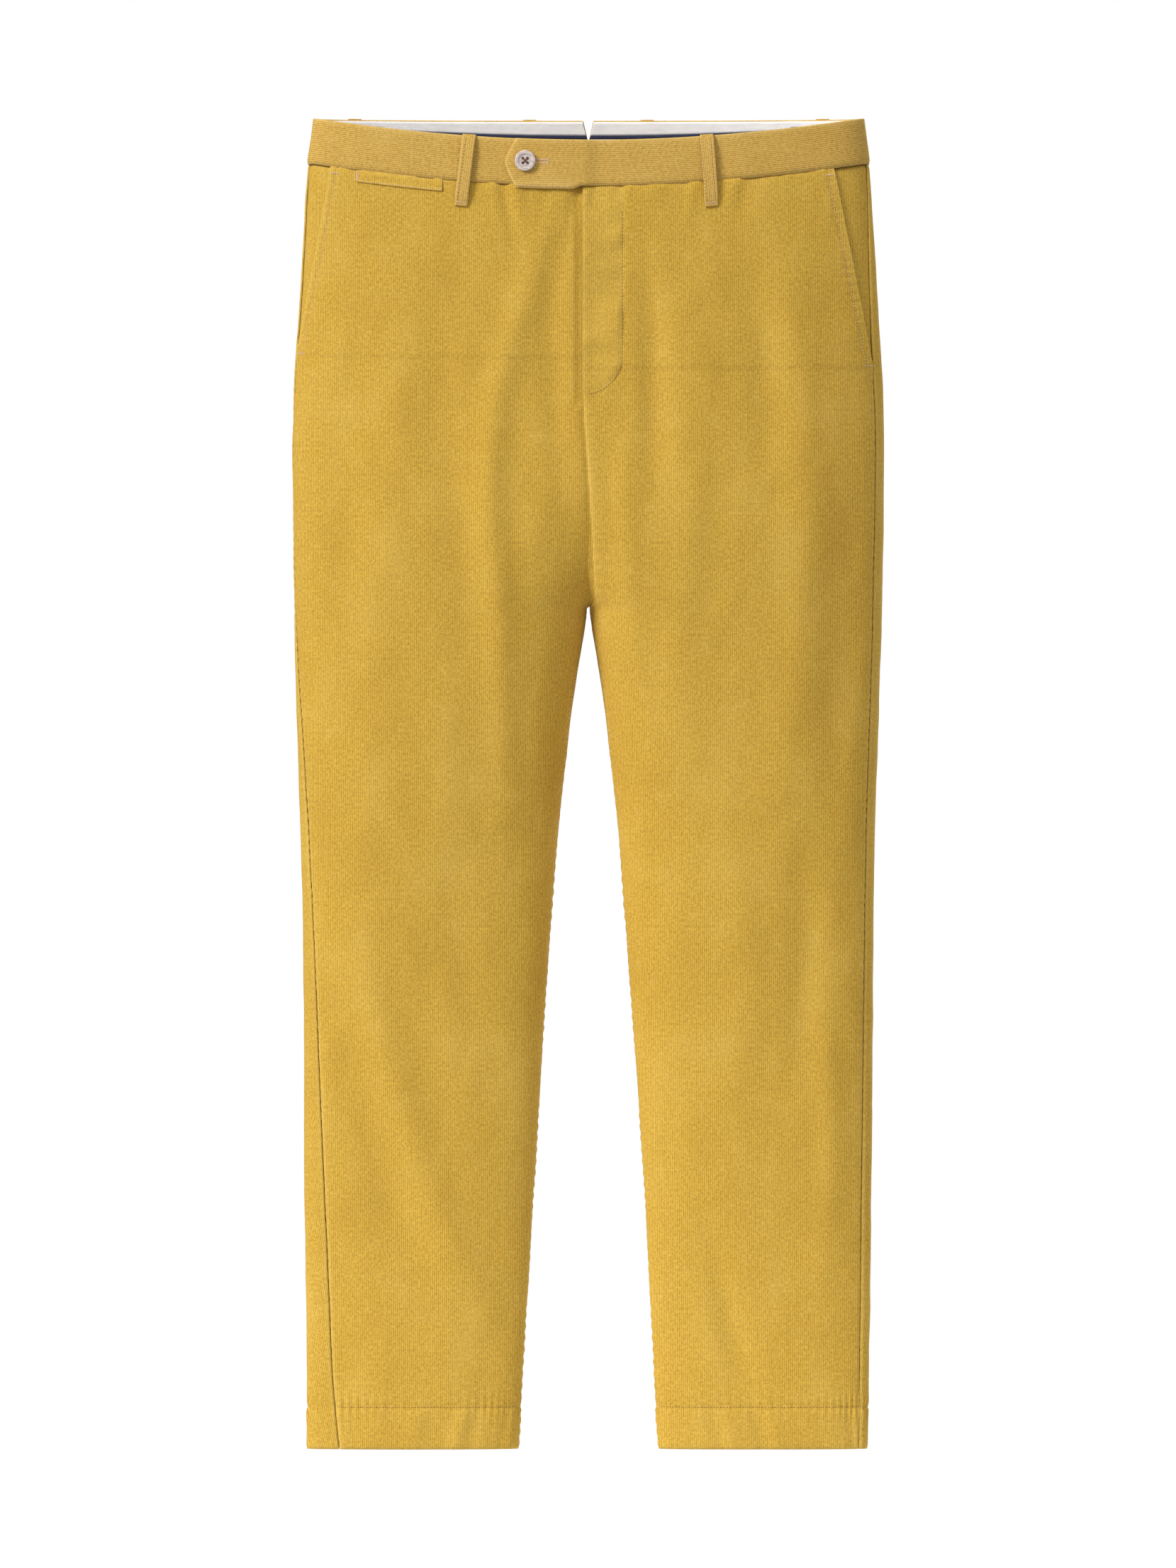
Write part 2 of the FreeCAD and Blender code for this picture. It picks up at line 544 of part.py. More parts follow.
def slider():
    """The slider, at the top of its travel, and its pull, which hangs in front of it."""
    mid, s = TEETH_DEPTH, SLIDER
    front = mid - s["opening"] / 2
    back = mid + s["opening"] / 2
    half, length, plate = s["half_width"], s["length"], s["plate"]
    shape = [(-half * 0.6, -length), (half * 0.6, -length), (half, -length * 0.45), (half * 0.8, 0),
             (-half * 0.8, 0), (-half, -length * 0.45)]

    def plate_at(y):
        wire = Part.makePolygon([FreeCAD.Vector(x, y, z) for x, z in shape + shape[:1]])
        return Part.Face(wire).extrude(FreeCAD.Vector(0, plate, 0))
    post = Part.makeBox(2.2, s["opening"] + 0.4, 2.4, FreeCAD.Vector(-1.1, front - 0.2, -2.6))
    body = plate_at(front - plate).fuse([plate_at(back), post])
    lug = 0.8
    for x in (-2.4, 1.6):
        body = body.fuse(Part.makeBox(lug, 1.7, 3.2, FreeCAD.Vector(x, front - plate - 1.6, -6.2)))
    pin_y, pin_z = front - plate - 0.95, -5.0
    pin = Part.makeCylinder(0.35, 4.6, FreeCAD.Vector(-2.3, pin_y, pin_z), FreeCAD.Vector(1, 0, 0))
    save("zip_slider", place_on_zip(body.fuse(pin).removeSplitter()))
    plate_w = 2.9
    pull = Part.makeBox(plate_w, 0.9, PULL_LENGTH, FreeCAD.Vector(-plate_w / 2, pin_y - 0.45,
                                                                   pin_z - PULL_LENGTH + 0.9))
    eye = Part.makeCylinder(0.42, plate_w + 1, FreeCAD.Vector(-plate_w / 2 - 0.5, pin_y, pin_z),
                            FreeCAD.Vector(1, 0, 0))
    grip = Part.makeBox(5.2, 0.9, 12.0, FreeCAD.Vector(-2.6, pin_y - 0.45,
                                                       pin_z - PULL_LENGTH + 0.9))
    eye_ring = Part.makeCylinder(0.85, plate_w, FreeCAD.Vector(-plate_w / 2, pin_y, pin_z),
                                 FreeCAD.Vector(1, 0, 0))
    pull = pull.fuse([grip, eye_ring]).removeSplitter().cut(eye)
    save("zip_pull", place_on_zip(pull))
    frame = place_on_zip(Part.makeBox(1, 1, 1)).Placement
    pivot = frame.multVec(FreeCAD.Vector(0, pin_y, pin_z)) * 0.001
    down = frame.Rotation.multVec(FreeCAD.Vector(0, 0, -1))
    print("zip pull pivot", [round(c, 6) for c in pivot], "slide", [round(c, 6) for c in down])


def fly():
    def facing_edge(level):
        t = max(0.0, (FLY_END + FLY_WIDTH - level) / FLY_WIDTH)
        return FLY_EDGE + 2 + (FLY_WIDTH - 2) * math.sqrt(max(0.0, 1 - min(t, 0.97) ** 2))
    levels = [FLY_TOP - 4, -90, -130, -170, -191, -203, -212, -218, -222]
    rows = face_rows(FORE, levels, FLY_EDGE + 1.5, facing_edge, LEFT, 7)
    save("fly_facing", lamina(rows, -CLOTH - 1.1, -CLOTH - 0.15))
    levels = [-2.5, -30, -60, -120, -180, -224]
    rows = face_rows(FORE, levels, -22, lambda level: 36 - 8 * (level / FLY_END) ** 3, LEFT, 9)
    save("fly_shield", lamina(rows, -12.9, -11.7))
    zip_fastener()


# ---- pockets

FACING_UNDER = 26.0         # how far the pocket facing runs under the front panel


def bag(name, front, side, levels, low, high, inside, outside, open_outer=False):
    """Two layers of pocketing, joined by seams at the bottom and the sides and open at the top."""
    wall, seam = 0.7, 3.0
    mid = (inside + wall + 0.05, outside - wall - 0.05)
    rows = face_rows(front, levels, low, high, side, 9)
    solids = [lamina(rows, outside - wall, outside), lamina(rows, inside, inside + wall)]
    foot = [levels[-2] - (levels[-2] - levels[-1]) * 0.6, levels[-1]]
    solids.append(lamina(face_rows(front, foot, low, high, side, 9), *mid))
    above = levels[:-2] + [levels[-2], foot[0] + 0.1]
    solids.append(lamina(face_rows(front, above, low, lambda level: low(level) + seam, side, 2), *mid))
    if open_outer:
        above = [level for level in above if level < -200]
    solids.append(lamina(face_rows(front, above, lambda level: high(level) - seam, high, side, 2), *mid))
    save(name, *solids)


def pockets():
    for side in (LEFT, RIGHT):
        name, seam, edge = NAMES[side], side_seam(side), slash(side)
        end = POCKET_END[side]
        levels = [TOP_LEVEL - 0.3, -80, -120, -160, end + 4]
        rows = face_rows(FORE, levels, lambda level: edge(level) - FACING_UNDER,
                         lambda level: seam(level) - SEAM_GAP, side, 9)
        save("side_pocket_facing_%s" % name, lamina(rows, -CLOTH - 1.7, -CLOTH - 0.65))
        low = [(-62, 118), (-200, 112), (-270, 118), (-318, 150)]
        high = [(-62, 176), (-110, 190), (-200, 206), (-270, 200), (-318, 176)]
        bag("side_pocket_bag_%s" % name, FORE, side, [-62, -110, -170, -202, -230, -270, -300, -318],
            lambda level: smooth(low, level), lambda level: smooth(high, level), -7.6, -3.7, True)
    coin_pocket()
    back_pockets()


COIN = (116.3, 185.5)       # x of the coin pocket's ends, on the right front
COIN_WELT = 9.5


def coin_pocket():
    rows = face_rows(FORE, [TOP_LEVEL - 0.2, BAND_SEAM - COIN_WELT], COIN[0], COIN[1], RIGHT, 7)
    save("coin_pocket_welt", lamina(rows, 0.3, 1.2))
    rows = face_rows(FORE, [-60, -85, -108, -118], lambda level: COIN[0] + 4 - (level + 60) * 0.05,
                     lambda level: COIN[1] - 14 + (level + 60) * 0.05, RIGHT, 7)
    save("coin_pocket_bag", lamina(rows, -3.3, -1.6))


BACK_WELT = (60.0, 188.0)   # x of a back pocket's ends
BACK_WELT_LEVEL = -92.0
JET = 5.0                   # height of each of its two lips


def back_pockets():
    for side in (LEFT, RIGHT):
        name, (low, high) = NAMES[side], BACK_WELT
        lips = []
        for top in (BACK_WELT_LEVEL + JET + 0.3, BACK_WELT_LEVEL - 0.3):
            rows = face_rows(AFT, [top, top - JET], low, high, side, 9)
            lips.append(lamina(rows, 0.3, 1.2))
        save("back_pocket_welt_%s" % name, *lips)
        bag("back_pocket_bag_%s" % name, AFT, side, [-78, -120, -170, -215, -240, -252],
            lambda level: low - 4 + max(0, -215 - level) * 0.6,
            lambda level: high - 2 - max(0, -215 - level) * 0.6, -7.2, -3.4)


def bar_tack(front, side, x, level, half_width, height):
    rows = face_rows(front, [level + height / 2, level - height / 2], x - half_width,
                     x + half_width, side, 3)
    return lamina(rows, 1.35, 1.9)


def bar_tacks():
    """Dense stitches that close the ends of the pockets."""
    tacks = [bar_tack(FORE, RIGHT, x, BAND_SEAM - COIN_WELT / 2 - 0.6, 1.2, 8.6) for x in COIN]
    for side in (LEFT, RIGHT):
        top, bottom = POCKET_TOP_X[side] - 3.5, side_seam(side)(POCKET_END[side]) - 6
        tacks.append(bar_tack(FORE, side, top, BAND_SEAM - 5.5, 2.6, 5.0))
        tacks.append(bar_tack(FORE, side, bottom, POCKET_END[side] + 1.5, 3.2, 2.0))
    save("bar_tacks_front", *tacks)
    save("bar_tacks_back", *[bar_tack(AFT, side, x, BACK_WELT_LEVEL, 1.0, 2 * JET)
                             for side in (LEFT, RIGHT) for x in BACK_WELT])


os.makedirs("parts", exist_ok=True)
panels()
waistband()
belt_loops()
buttons()
fly()
pockets()
bar_tacks()
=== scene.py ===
"""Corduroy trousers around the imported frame: one garment surface, shared by every cloth piece.

A place on the garment is a "turn" and a "level". The turn is the angle round the wearer's left
half: 0 at the centre front or inseam, pi at the side, 2 pi at the back. A negative turn runs onto
the right half. The level is the height before the front of the waist dips. Metres, as the frame.
"""

import math

import bpy
import numpy as np
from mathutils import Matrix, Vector
from mathutils.bvhtree import BVHTree


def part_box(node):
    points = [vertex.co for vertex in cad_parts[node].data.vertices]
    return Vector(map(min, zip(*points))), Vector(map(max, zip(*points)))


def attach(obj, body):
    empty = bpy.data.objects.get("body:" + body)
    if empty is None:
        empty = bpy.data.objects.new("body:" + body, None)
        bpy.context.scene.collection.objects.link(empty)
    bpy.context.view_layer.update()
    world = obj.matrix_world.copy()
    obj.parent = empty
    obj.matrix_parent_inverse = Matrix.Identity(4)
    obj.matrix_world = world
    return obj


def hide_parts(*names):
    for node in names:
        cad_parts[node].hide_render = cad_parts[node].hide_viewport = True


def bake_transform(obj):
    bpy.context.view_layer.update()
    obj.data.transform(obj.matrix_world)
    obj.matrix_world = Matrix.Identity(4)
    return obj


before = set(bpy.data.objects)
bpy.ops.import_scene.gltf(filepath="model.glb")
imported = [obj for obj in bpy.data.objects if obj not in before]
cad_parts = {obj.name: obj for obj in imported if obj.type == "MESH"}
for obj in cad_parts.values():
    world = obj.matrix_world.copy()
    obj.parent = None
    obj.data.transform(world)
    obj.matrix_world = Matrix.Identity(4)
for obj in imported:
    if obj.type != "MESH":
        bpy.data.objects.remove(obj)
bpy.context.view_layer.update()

MM = 0.001
LEFT, RIGHT = 1, -1
NAMES = {LEFT: "left", RIGHT: "right"}
PI = math.pi

# ---- the garment's size, from the frame
WAIST_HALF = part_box("waistband_left")[1].x - 5 * MM
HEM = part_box("front_panel_left_lower")[0].z
BAND = 36.5 * MM
FORK = -393 * MM
FRONT_DIP = 18.8 * MM
CLOTH = 1.3 * MM
RISE_TOP = -230 * MM
FLY_END = -223 * MM
FLY_EDGE = -5 * MM
HEM_HEIGHT = 34 * MM
POCKET_STITCH = 6 * MM      # from the slash pocket's edge to its topstitching

# (height, value) profiles of the closed garment, highest first
OUTER = [(0, 221), (-40, 226), (-130, 232), (-269, 238.5), (-406, 236.5), (-590, 231),
         (-760, 228.5), (-1069, 225)]
INNER = [(-393, 0.0), (-406, 1.4), (-450, 9), (-497, 15.6), (-588, 25.5), (-680, 32),
         (-770, 38.5), (-860, 44.5), (-953, 50), (-1069, 56.7)]
FRONT_DEPTH = [(0, 34), (-60, 38), (-230, 46), (-330, 50), (-450, 46), (-600, 38), (-690, 33),
               (-900, 23), (-1069, 17)]
BACK_DEPTH = [(0, 36), (-100, 48), (-230, 66), (-330, 66), (-450, 54), (-600, 42), (-690, 36),
              (-900, 25), (-1069, 19)]
CREST = [(-120, 0.0), (-393, 360), (-560, 500)]
ROUNDNESS, RISE_ROUNDNESS = 2.3, 2.6
DIP_FADES = (-40 * MM, -230 * MM)


# ---- the garment surface

def smooth(points, at):
    """A monotone curve through (height, value) points in millimetres, read and given in metres."""
    z, v = (np.array(column[::-1], float) * MM for column in zip(*points))
    slopes = np.diff(v) / np.diff(z)
    product = slopes[1:] * slopes[:-1]
    total = np.where(product > 0, slopes[1:] + slopes[:-1], 1.0)
    inner = np.where(product > 0, 2 * product / total, 0.0)
    tangents = np.concatenate([slopes[:1], inner, slopes[-1:]])
    at = np.clip(at, z[0], z[-1])
    i = np.clip(np.searchsorted(z, at, side="right") - 1, 0, len(z) - 2)
    h = z[i + 1] - z[i]
    t = (at - z[i]) / h
    return (v[i] * (1 + 2 * t) * (1 - t) ** 2 + v[i + 1] * t * t * (3 - 2 * t)
            + h * tangents[i] * t * (1 - t) ** 2 - h * tangents[i + 1] * t * t * (1 - t))


def step(low, high, at):
    """Smoothly from 0 at low to 1 at high."""
    t = np.clip((at - low) / (high - low), 0, 1)
    return t * t * (3 - 2 * t)


def bell(distance, width):
    """1 at no distance, and falling away smoothly over a width."""
    return np.exp(-(distance / width) ** 2)


def bulge(s, z):
    """Depth of the section as a share of its greatest, at s from 0 (inner edge) to 1 (side)."""
    crest = np.maximum(smooth(CREST, z), 1e-6)
    t = np.clip((RISE_TOP - z) / (RISE_TOP - FORK), 0, 1)
    middle = (1 - t ** RISE_ROUNDNESS) ** (1 / RISE_ROUNDNESS)
    closing = (1 - middle ** ROUNDNESS) ** (1 / ROUNDNESS)
    t = np.where(s >= crest, (s - crest) / (1 - crest), (crest - s) / crest * closing)
    return (1 - np.clip(t, 0, 1) ** ROUNDNESS) ** (1 / ROUNDNESS)


def dip(x, level):
    """How far the front of the garment drops at x."""
    share = np.clip(1 - (x / WAIST_HALF) ** 2, 0, 1)
    return -FRONT_DIP * share * step(DIP_FADES[1], DIP_FADES[0], level)


def half_point(turn, level):
    """Points of the left half, and of the right half mirrored."""
    z = level
    for _ in range(3):
        inner, outer = smooth(INNER, z), smooth(OUTER, z)
        x = (inner + outer) / 2 - (outer - inner) / 2 * np.cos(turn)
        z = level + np.where(turn < PI, dip(x, level), 0)
    depth = np.where(turn < PI, -smooth(FRONT_DEPTH, z), smooth(BACK_DEPTH, z))
    return np.stack([x, depth * bulge((x - inner) / (outer - inner), z), z], -1)


def around(turn):
    """The turn on one half that a signed turn, or one past the full circle, comes to."""
    turn = np.abs(turn)
    return np.where(turn > 2 * PI, turn - 2 * PI, turn)


def surface(side, turn, level):
    """Points of the bare garment surface, and the directions out of it."""
    turn, level = np.broadcast_arrays(np.asarray(turn, float), np.asarray(level, float))
    flip = np.where(turn < 0, -1, 1) * side
    turn = around(turn)
    point = half_point(turn, level)
    ahead, behind = np.minimum(turn + 0.06, 2 * PI), np.maximum(turn - 0.06, 0)
    along = half_point(ahead, level) - half_point(behind, level)
    up = half_point(turn, level + 0.5 * MM) - half_point(turn, level - 0.5 * MM)
    low = level <= FORK + 0.5 * MM
    along[low, 2] = 0
    up[low] = (0, 0, 1)
    out = np.cross(along, up)
    out /= np.linalg.norm(out, axis=-1, keepdims=True)
    mirror = np.stack([flip, np.ones_like(flip), np.ones_like(flip)], -1)
    return point * mirror, out * mirror


def turn_at(x, level, front=True):
    """The turn of the point at x, measured on a half."""
    inner, outer = smooth(INNER, level), smooth(OUTER, level)
    share = ((inner + outer) / 2 - np.clip(np.abs(x), inner, outer)) / ((outer - inner) / 2)
    turn = np.arccos(np.clip(share, -1, 1))
    turn = turn if front else 2 * PI - turn
    return np.where(x < 0, -turn, turn)


# ---- relief: how the cloth stands off the bare surface

_tables = {}


def noise(x, y, z, seed):
    """Smooth noise from -1 to 1 on a unit lattice."""
    if seed not in _tables:
        _tables[seed] = np.random.default_rng(seed).uniform(-1, 1, (31, 29, 37))
    table = _tables[seed]
    total = 0
    cells = [np.floor(c).astype(int) for c in (x, y, z)]
    parts = [c - np.floor(c) for c in (x, y, z)]
    parts = [p * p * (3 - 2 * p) for p in parts]
    for dx in (0, 1):
        for dy in (0, 1):
            for dz in (0, 1):
                weight = 1
                for p, d in zip(parts, (dx, dy, dz)):
                    weight = weight * (p if d else 1 - p)
                total = total + weight * table[(cells[0] + dx) % 31, (cells[1] + dy) % 29,
                                               (cells[2] + dz) % 37]
    return total


def ridge(x, z, path, width, height):
    """A soft fold along a path of (x, z) points in millimetres. A negative height is a hollow."""
    path = [(a * MM, b * MM) for a, b in path]
    nearest, along = np.full(np.shape(x), 1e9), np.zeros(np.shape(x))
    for k, ((ax, az), (bx, bz)) in enumerate(zip(path, path[1:])):
        dx, dz = bx - ax, bz - az
        t = np.clip(((x - ax) * dx + (z - az) * dz) / (dx * dx + dz * dz), 0, 1)
        d = np.hypot(x - ax - t * dx, z - az - t * dz)
        along = np.where(d < nearest, (k + t) / (len(path) - 1), along)
        nearest = np.minimum(nearest, d)
    fade = np.sin(PI * np.clip(along, 0.04, 0.96)) ** 0.6
    return height * MM * bell(nearest, width * MM) * fade


FOLD_DEPTH = 1.5            # what the heights of all the folds below are multiplied by
# (path, width, height) of the folds in millimetres. In front x is positive on the wearer's left;
# at the back it is the distance from x = -4, and each fold lies on both sides of that.
FRONT_FOLDS = [
    ([(-36, -92), (-74, -225), (-80, -300), (-72, -400), (-66, -560)], 13, 3.2),
    ([(-18, -80), (-30, -170), (-22, -280), (-12, -360)], 12, -1.6),
    ([(-112, -110), (-118, -220), (-104, -330), (-98, -430)], 17, -1.8),
    ([(-150, -150), (-160, -300), (-168, -420)], 22, 1.8),
    ([(-200, -230), (-196, -330), (-188, -460)], 16, -1.3),
    ([(135, -86), (160, -130), (168, -190), (174, -300), (172, -400), (160, -540)], 19, 2.2),
    ([(108, -90), (140, -170), (146, -300)], 16, -1.6),
    ([(46, -100), (52, -200), (54, -300)], 12, -2.2),
    ([(80, -150), (84, -260), (76, -380), (70, -520)], 20, 2.0),
    ([(208, -300), (203, -420), (198, -560)], 20, -1.3),
    ([(32, -250), (30, -330), (36, -430), (52, -520)], 12, 1.7),
    ([(-190, -650), (-155, -770), (-120, -880), (-84, -960)], 16, 2.8),
    ([(-200, -720), (-170, -830), (-140, -930)], 15, -1.8),
    ([(-110, -600), (-96, -690), (-72, -800)], 16, -1.2),
    ([(110, -560), (128, -680), (120, -800)], 18, 1.6),
    ([(170, -560), (176, -680), (168, -780)], 15, -1.8),
    ([(96, -880), (112, -960), (128, -1020)], 12, -1.8),
    ([(188, -700), (196, -830), (190, -960)], 14, 1.5),
]
BACK_FOLDS = [
    ([(30, -250), (60, -330), (96, -390), (140, -420)], 13, 2.6),
    ([(24, -300), (50, -370), (90, -430)], 10, -2.0),
    ([(28, -350), (60, -420), (110, -470)], 11, 2.0),
    ([(150, -200), (170, -330), (168, -470)], 20, 2.2),
    ([(100, -240), (116, -330), (110, -480)], 22, -1.6),
    ([(50, -640), (110, -672), (190, -660)], 9, 1.9),
    ([(50, -676), (120, -700), (200, -686)], 8, -1.8),
    ([(60, -712), (130, -730), (205, -716)], 9, 1.7),
    ([(90, -760), (120, -850), (128, -960)], 18, 1.6),
    ([(180, -740), (184, -850), (176, -960)], 15, -1.4),
]
# (x, height, radius) in millimetres of where the buttons and the zip lie, and the cloth is calmer
CALM = [(-50.7, -36, 34), (8, -140, 24), (124.2, -113, 22), (-124.2, -113, 22)]


def relief(point, side_turn):
    """Folds and unevenness of the outer cloth at points of the bare surface."""
    x, y, z = point[..., 0], point[..., 1], point[..., 2]
    rise = step(-0.02, -0.12, z)
    total = 1.5 * MM * noise(x / 0.085, y / 0.06, z / 0.30, 3) * rise
    total = total + 0.9 * MM * noise(x / 0.041, y / 0.04, z / 0.17, 5) * rise
    total = total + 0.32 * MM * noise(x / 0.014, y / 0.014, z / 0.030, 7)
    total = total + 0.12 * MM * noise(x / 0.006, y / 0.006, z / 0.009, 9)
    face = np.clip(np.abs(np.sin(side_turn)) * 1.6, 0, 1)
    front = np.abs(side_turn) < PI
    fore, aft = 0, 0
    for path, width, height in FRONT_FOLDS:
        fore = fore + ridge(x, z, path, width, height)
    for path, width, height in BACK_FOLDS:
        aft = aft + ridge(np.abs(x + 4 * MM), z, path, width, height)
    total = total + FOLD_DEPTH * np.where(front, fore, aft) * face
    ease = 1
    for cx, cz, radius in CALM:
        near = np.exp(-((x - cx * MM) ** 2 + (z - cz * MM) ** 2) / (radius * MM) ** 2)
        ease = ease * (1 - 0.9 * near)
    return total * ease


# ---- meshes

def add_mesh(name, points, faces, body=None):
    mesh = bpy.data.meshes.new(name)
    mesh.from_pydata(points.reshape(-1, 3).tolist(), [], faces)
    mesh.polygons.foreach_set("use_smooth", [True] * len(mesh.polygons))
    piece = bpy.data.objects.new(name, mesh)
    bpy.context.scene.collection.objects.link(piece)
    if body:
        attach(piece, body)
    return piece


def set_grain(piece, per_face_corner):
    """The map whose x runs across the wales and whose y runs along them, in metres."""
    layer = piece.data.uv_layers.new(name="Grain")
    layer.data.foreach_set("uv", np.asarray(per_face_corner, np.float32).ravel())


def set_wear_and_shade(piece, values):
    """How rubbed each point is, for the corduroy's attribute of wear and painted shade: above 0 is
    lighter with wear, below 0 is darker with painted shade.
    """
    attribute = piece.data.attributes.new("wear_and_shade", "FLOAT", "POINT")
    attribute.data.foreach_set("value", np.asarray(values, np.float32).ravel())


def grid_faces(rows, columns, around=False):
    """Corner indices of a grid's faces, rows by columns; around closes each row into a loop."""
    i, j = np.meshgrid(np.arange(rows - 1), np.arange(columns if around else columns - 1),
                       indexing="ij")
    k = (j + 1) % columns
    return np.stack([i * columns + j, i * columns + k, (i + 1) * columns + k,
                     (i + 1) * columns + j], -1).reshape(-1, 4)


def outward(faces, turned):
    return faces[:, ::-1] if turned else faces


def cloth(name, points, grain, turned, wear_and_shade=None, thickness=CLOTH, body=None):
    """An open sheet of cloth from a grid of points, given its thickness inwards."""
    rows, columns = points.shape[:2]
    faces = outward(grid_faces(rows, columns), turned)
    piece = add_mesh(name, points, faces.tolist(), body)
    set_grain(piece, grain.reshape(-1, 2)[faces.ravel()])
    set_wear_and_shade(piece, np.zeros((rows, columns)) if wear_and_shade is None else wear_and_shade)
    solid = piece.modifiers.new("thickness", "SOLIDIFY")
    solid.thickness, solid.offset, solid.use_even_offset = thickness, -1, False
    return piece


def closed(name, points, grain, turned, wear_and_shade=None, body=None):
    """A closed piece from loops of points, one loop per row. grain has one column more."""
    rows, columns = points.shape[:2]
    quads = outward(grid_faces(rows, columns, around=True), turned)
    i, j = np.meshgrid(np.arange(rows - 1), np.arange(columns), indexing="ij")
    corners = np.stack([i * (columns + 1) + j, i * (columns + 1) + j + 1,
                        (i + 1) * (columns + 1) + j + 1, (i + 1) * (columns + 1) + j], -1)
    corners = outward(corners.reshape(-1, 4), turned)
    first, last = list(range(columns)), list(range((rows - 1) * columns, rows * columns))
    caps = [first[::-1], last] if not turned else [first, last[::-1]]
    piece = add_mesh(name, points, quads.tolist() + caps, body)
    flat = grain.reshape(-1, 2)
    ends = [flat[[0] * columns], flat[[-1] * columns]]
    set_grain(piece, np.concatenate([flat[corners.ravel()]] + ends))
    set_wear_and_shade(piece, np.zeros((rows, columns)) if wear_and_shade is None else wear_and_shade)
    return piece


def run(points, axis):
    """Length along a grid's rows or columns, from its first line."""
    steps = np.linalg.norm(np.diff(points, axis=axis), axis=-1)
    start = np.zeros_like(np.take(steps, [0], axis))
    return np.concatenate([start, np.cumsum(steps, axis)], axis)


def sheet(piece, bare, held, *rests_on):
    """Work out the flat width and length of the surface a piece of cloth was cut to cover; the piece
    itself is left as it is.
    """
    width, length = run(bare, 1)[:, -1].max(), run(bare, 0)[-1].max()


def rows_of(top, bottom, pitch):
    """Levels from the top to the bottom, about a pitch apart."""
    return np.linspace(top, bottom, max(2, int(abs(top - bottom) / pitch) + 1))


def stand(side, turn, level, offset, extra=0.0):
    """Points of the cloth at an offset from its relief."""
    point, out = surface(side, turn, level)
    lift = relief(point, around(turn)) + extra + offset
    return point + out * np.asarray(lift)[..., None]


# ---- materials

def linear(r, g, b):
    return [((c / 255 + 0.055) / 1.055) ** 2.4 if c > 10 else c / 255 / 12.92 for c in (r, g, b)] + [1]


class Nodes:
    """A material's node tree, with short calls for what these materials use."""

    def __init__(self, name, roughness, **constants):
        self.material = bpy.data.materials.new(name)
        self.material.use_nodes = True
        self.tree = self.material.node_tree
        self.shader = self.tree.nodes["Principled BSDF"]
        self.shader.inputs["Roughness"].default_value = roughness
        for socket, value in constants.items():
            self.shader.inputs[socket.replace("_", " ")].default_value = value

    def add(self, kind, inputs=(), **settings):
        node = self.tree.nodes.new(kind)
        for key, value in settings.items():
            setattr(node, key, value)
        for key, value in dict(inputs).items():
            self.give(node.inputs[key], value)
        return node

    def give(self, socket, value):
        if isinstance(value, bpy.types.NodeSocket):
            self.tree.links.new(value, socket)
        else:
            socket.default_value = value

    def math(self, operation, *values):
        node = self.add("ShaderNodeMath", dict(enumerate(values)), operation=operation)
        return node.outputs[0]

    def times(self, a, b):
        return self.math("MULTIPLY", a, b)

    def plus(self, a, b):
        return self.math("ADD", a, b)

    def grain(self):
        return self.add("ShaderNodeUVMap", uv_map="Grain").outputs["UV"]

    def scaled(self, vector, scale):
        node = self.add("ShaderNodeMapping", {"Vector": vector, "Scale": scale})
        return node.outputs["Vector"]

    def noise(self, vector, scale, detail=2.0, roughness=0.5):
        return self.add("ShaderNodeTexNoise", {"Vector": vector, "Scale": scale, "Detail": detail,
                                               "Roughness": roughness}).outputs["Fac"]

    def mix(self, share, a, b):
        node = self.add("ShaderNodeMix", data_type="RGBA", blend_type="MIX", clamp_factor=True)
        for socket, value in zip((node.inputs[0], node.inputs[6], node.inputs[7]), (share, a, b)):
            self.give(socket, value)
        return node.outputs[2]

    def ramp(self, value, low, high):
        return self.add("ShaderNodeMapRange", {"Value": value, "From Min": low, "From Max": high},
                        interpolation_type="SMOOTHSTEP").outputs[0]

    def bump(self, height, distance, strength=1.0):
        node = self.add("ShaderNodeBump", {"Height": height, "Distance": distance,
                                           "Strength": strength})
        self.give(self.shader.inputs["Normal"], node.outputs["Normal"])

    def colour(self, value):
        self.give(self.shader.inputs["Base Color"], value)


WALE = 1.57 * MM            # from the crest of one wale to the next


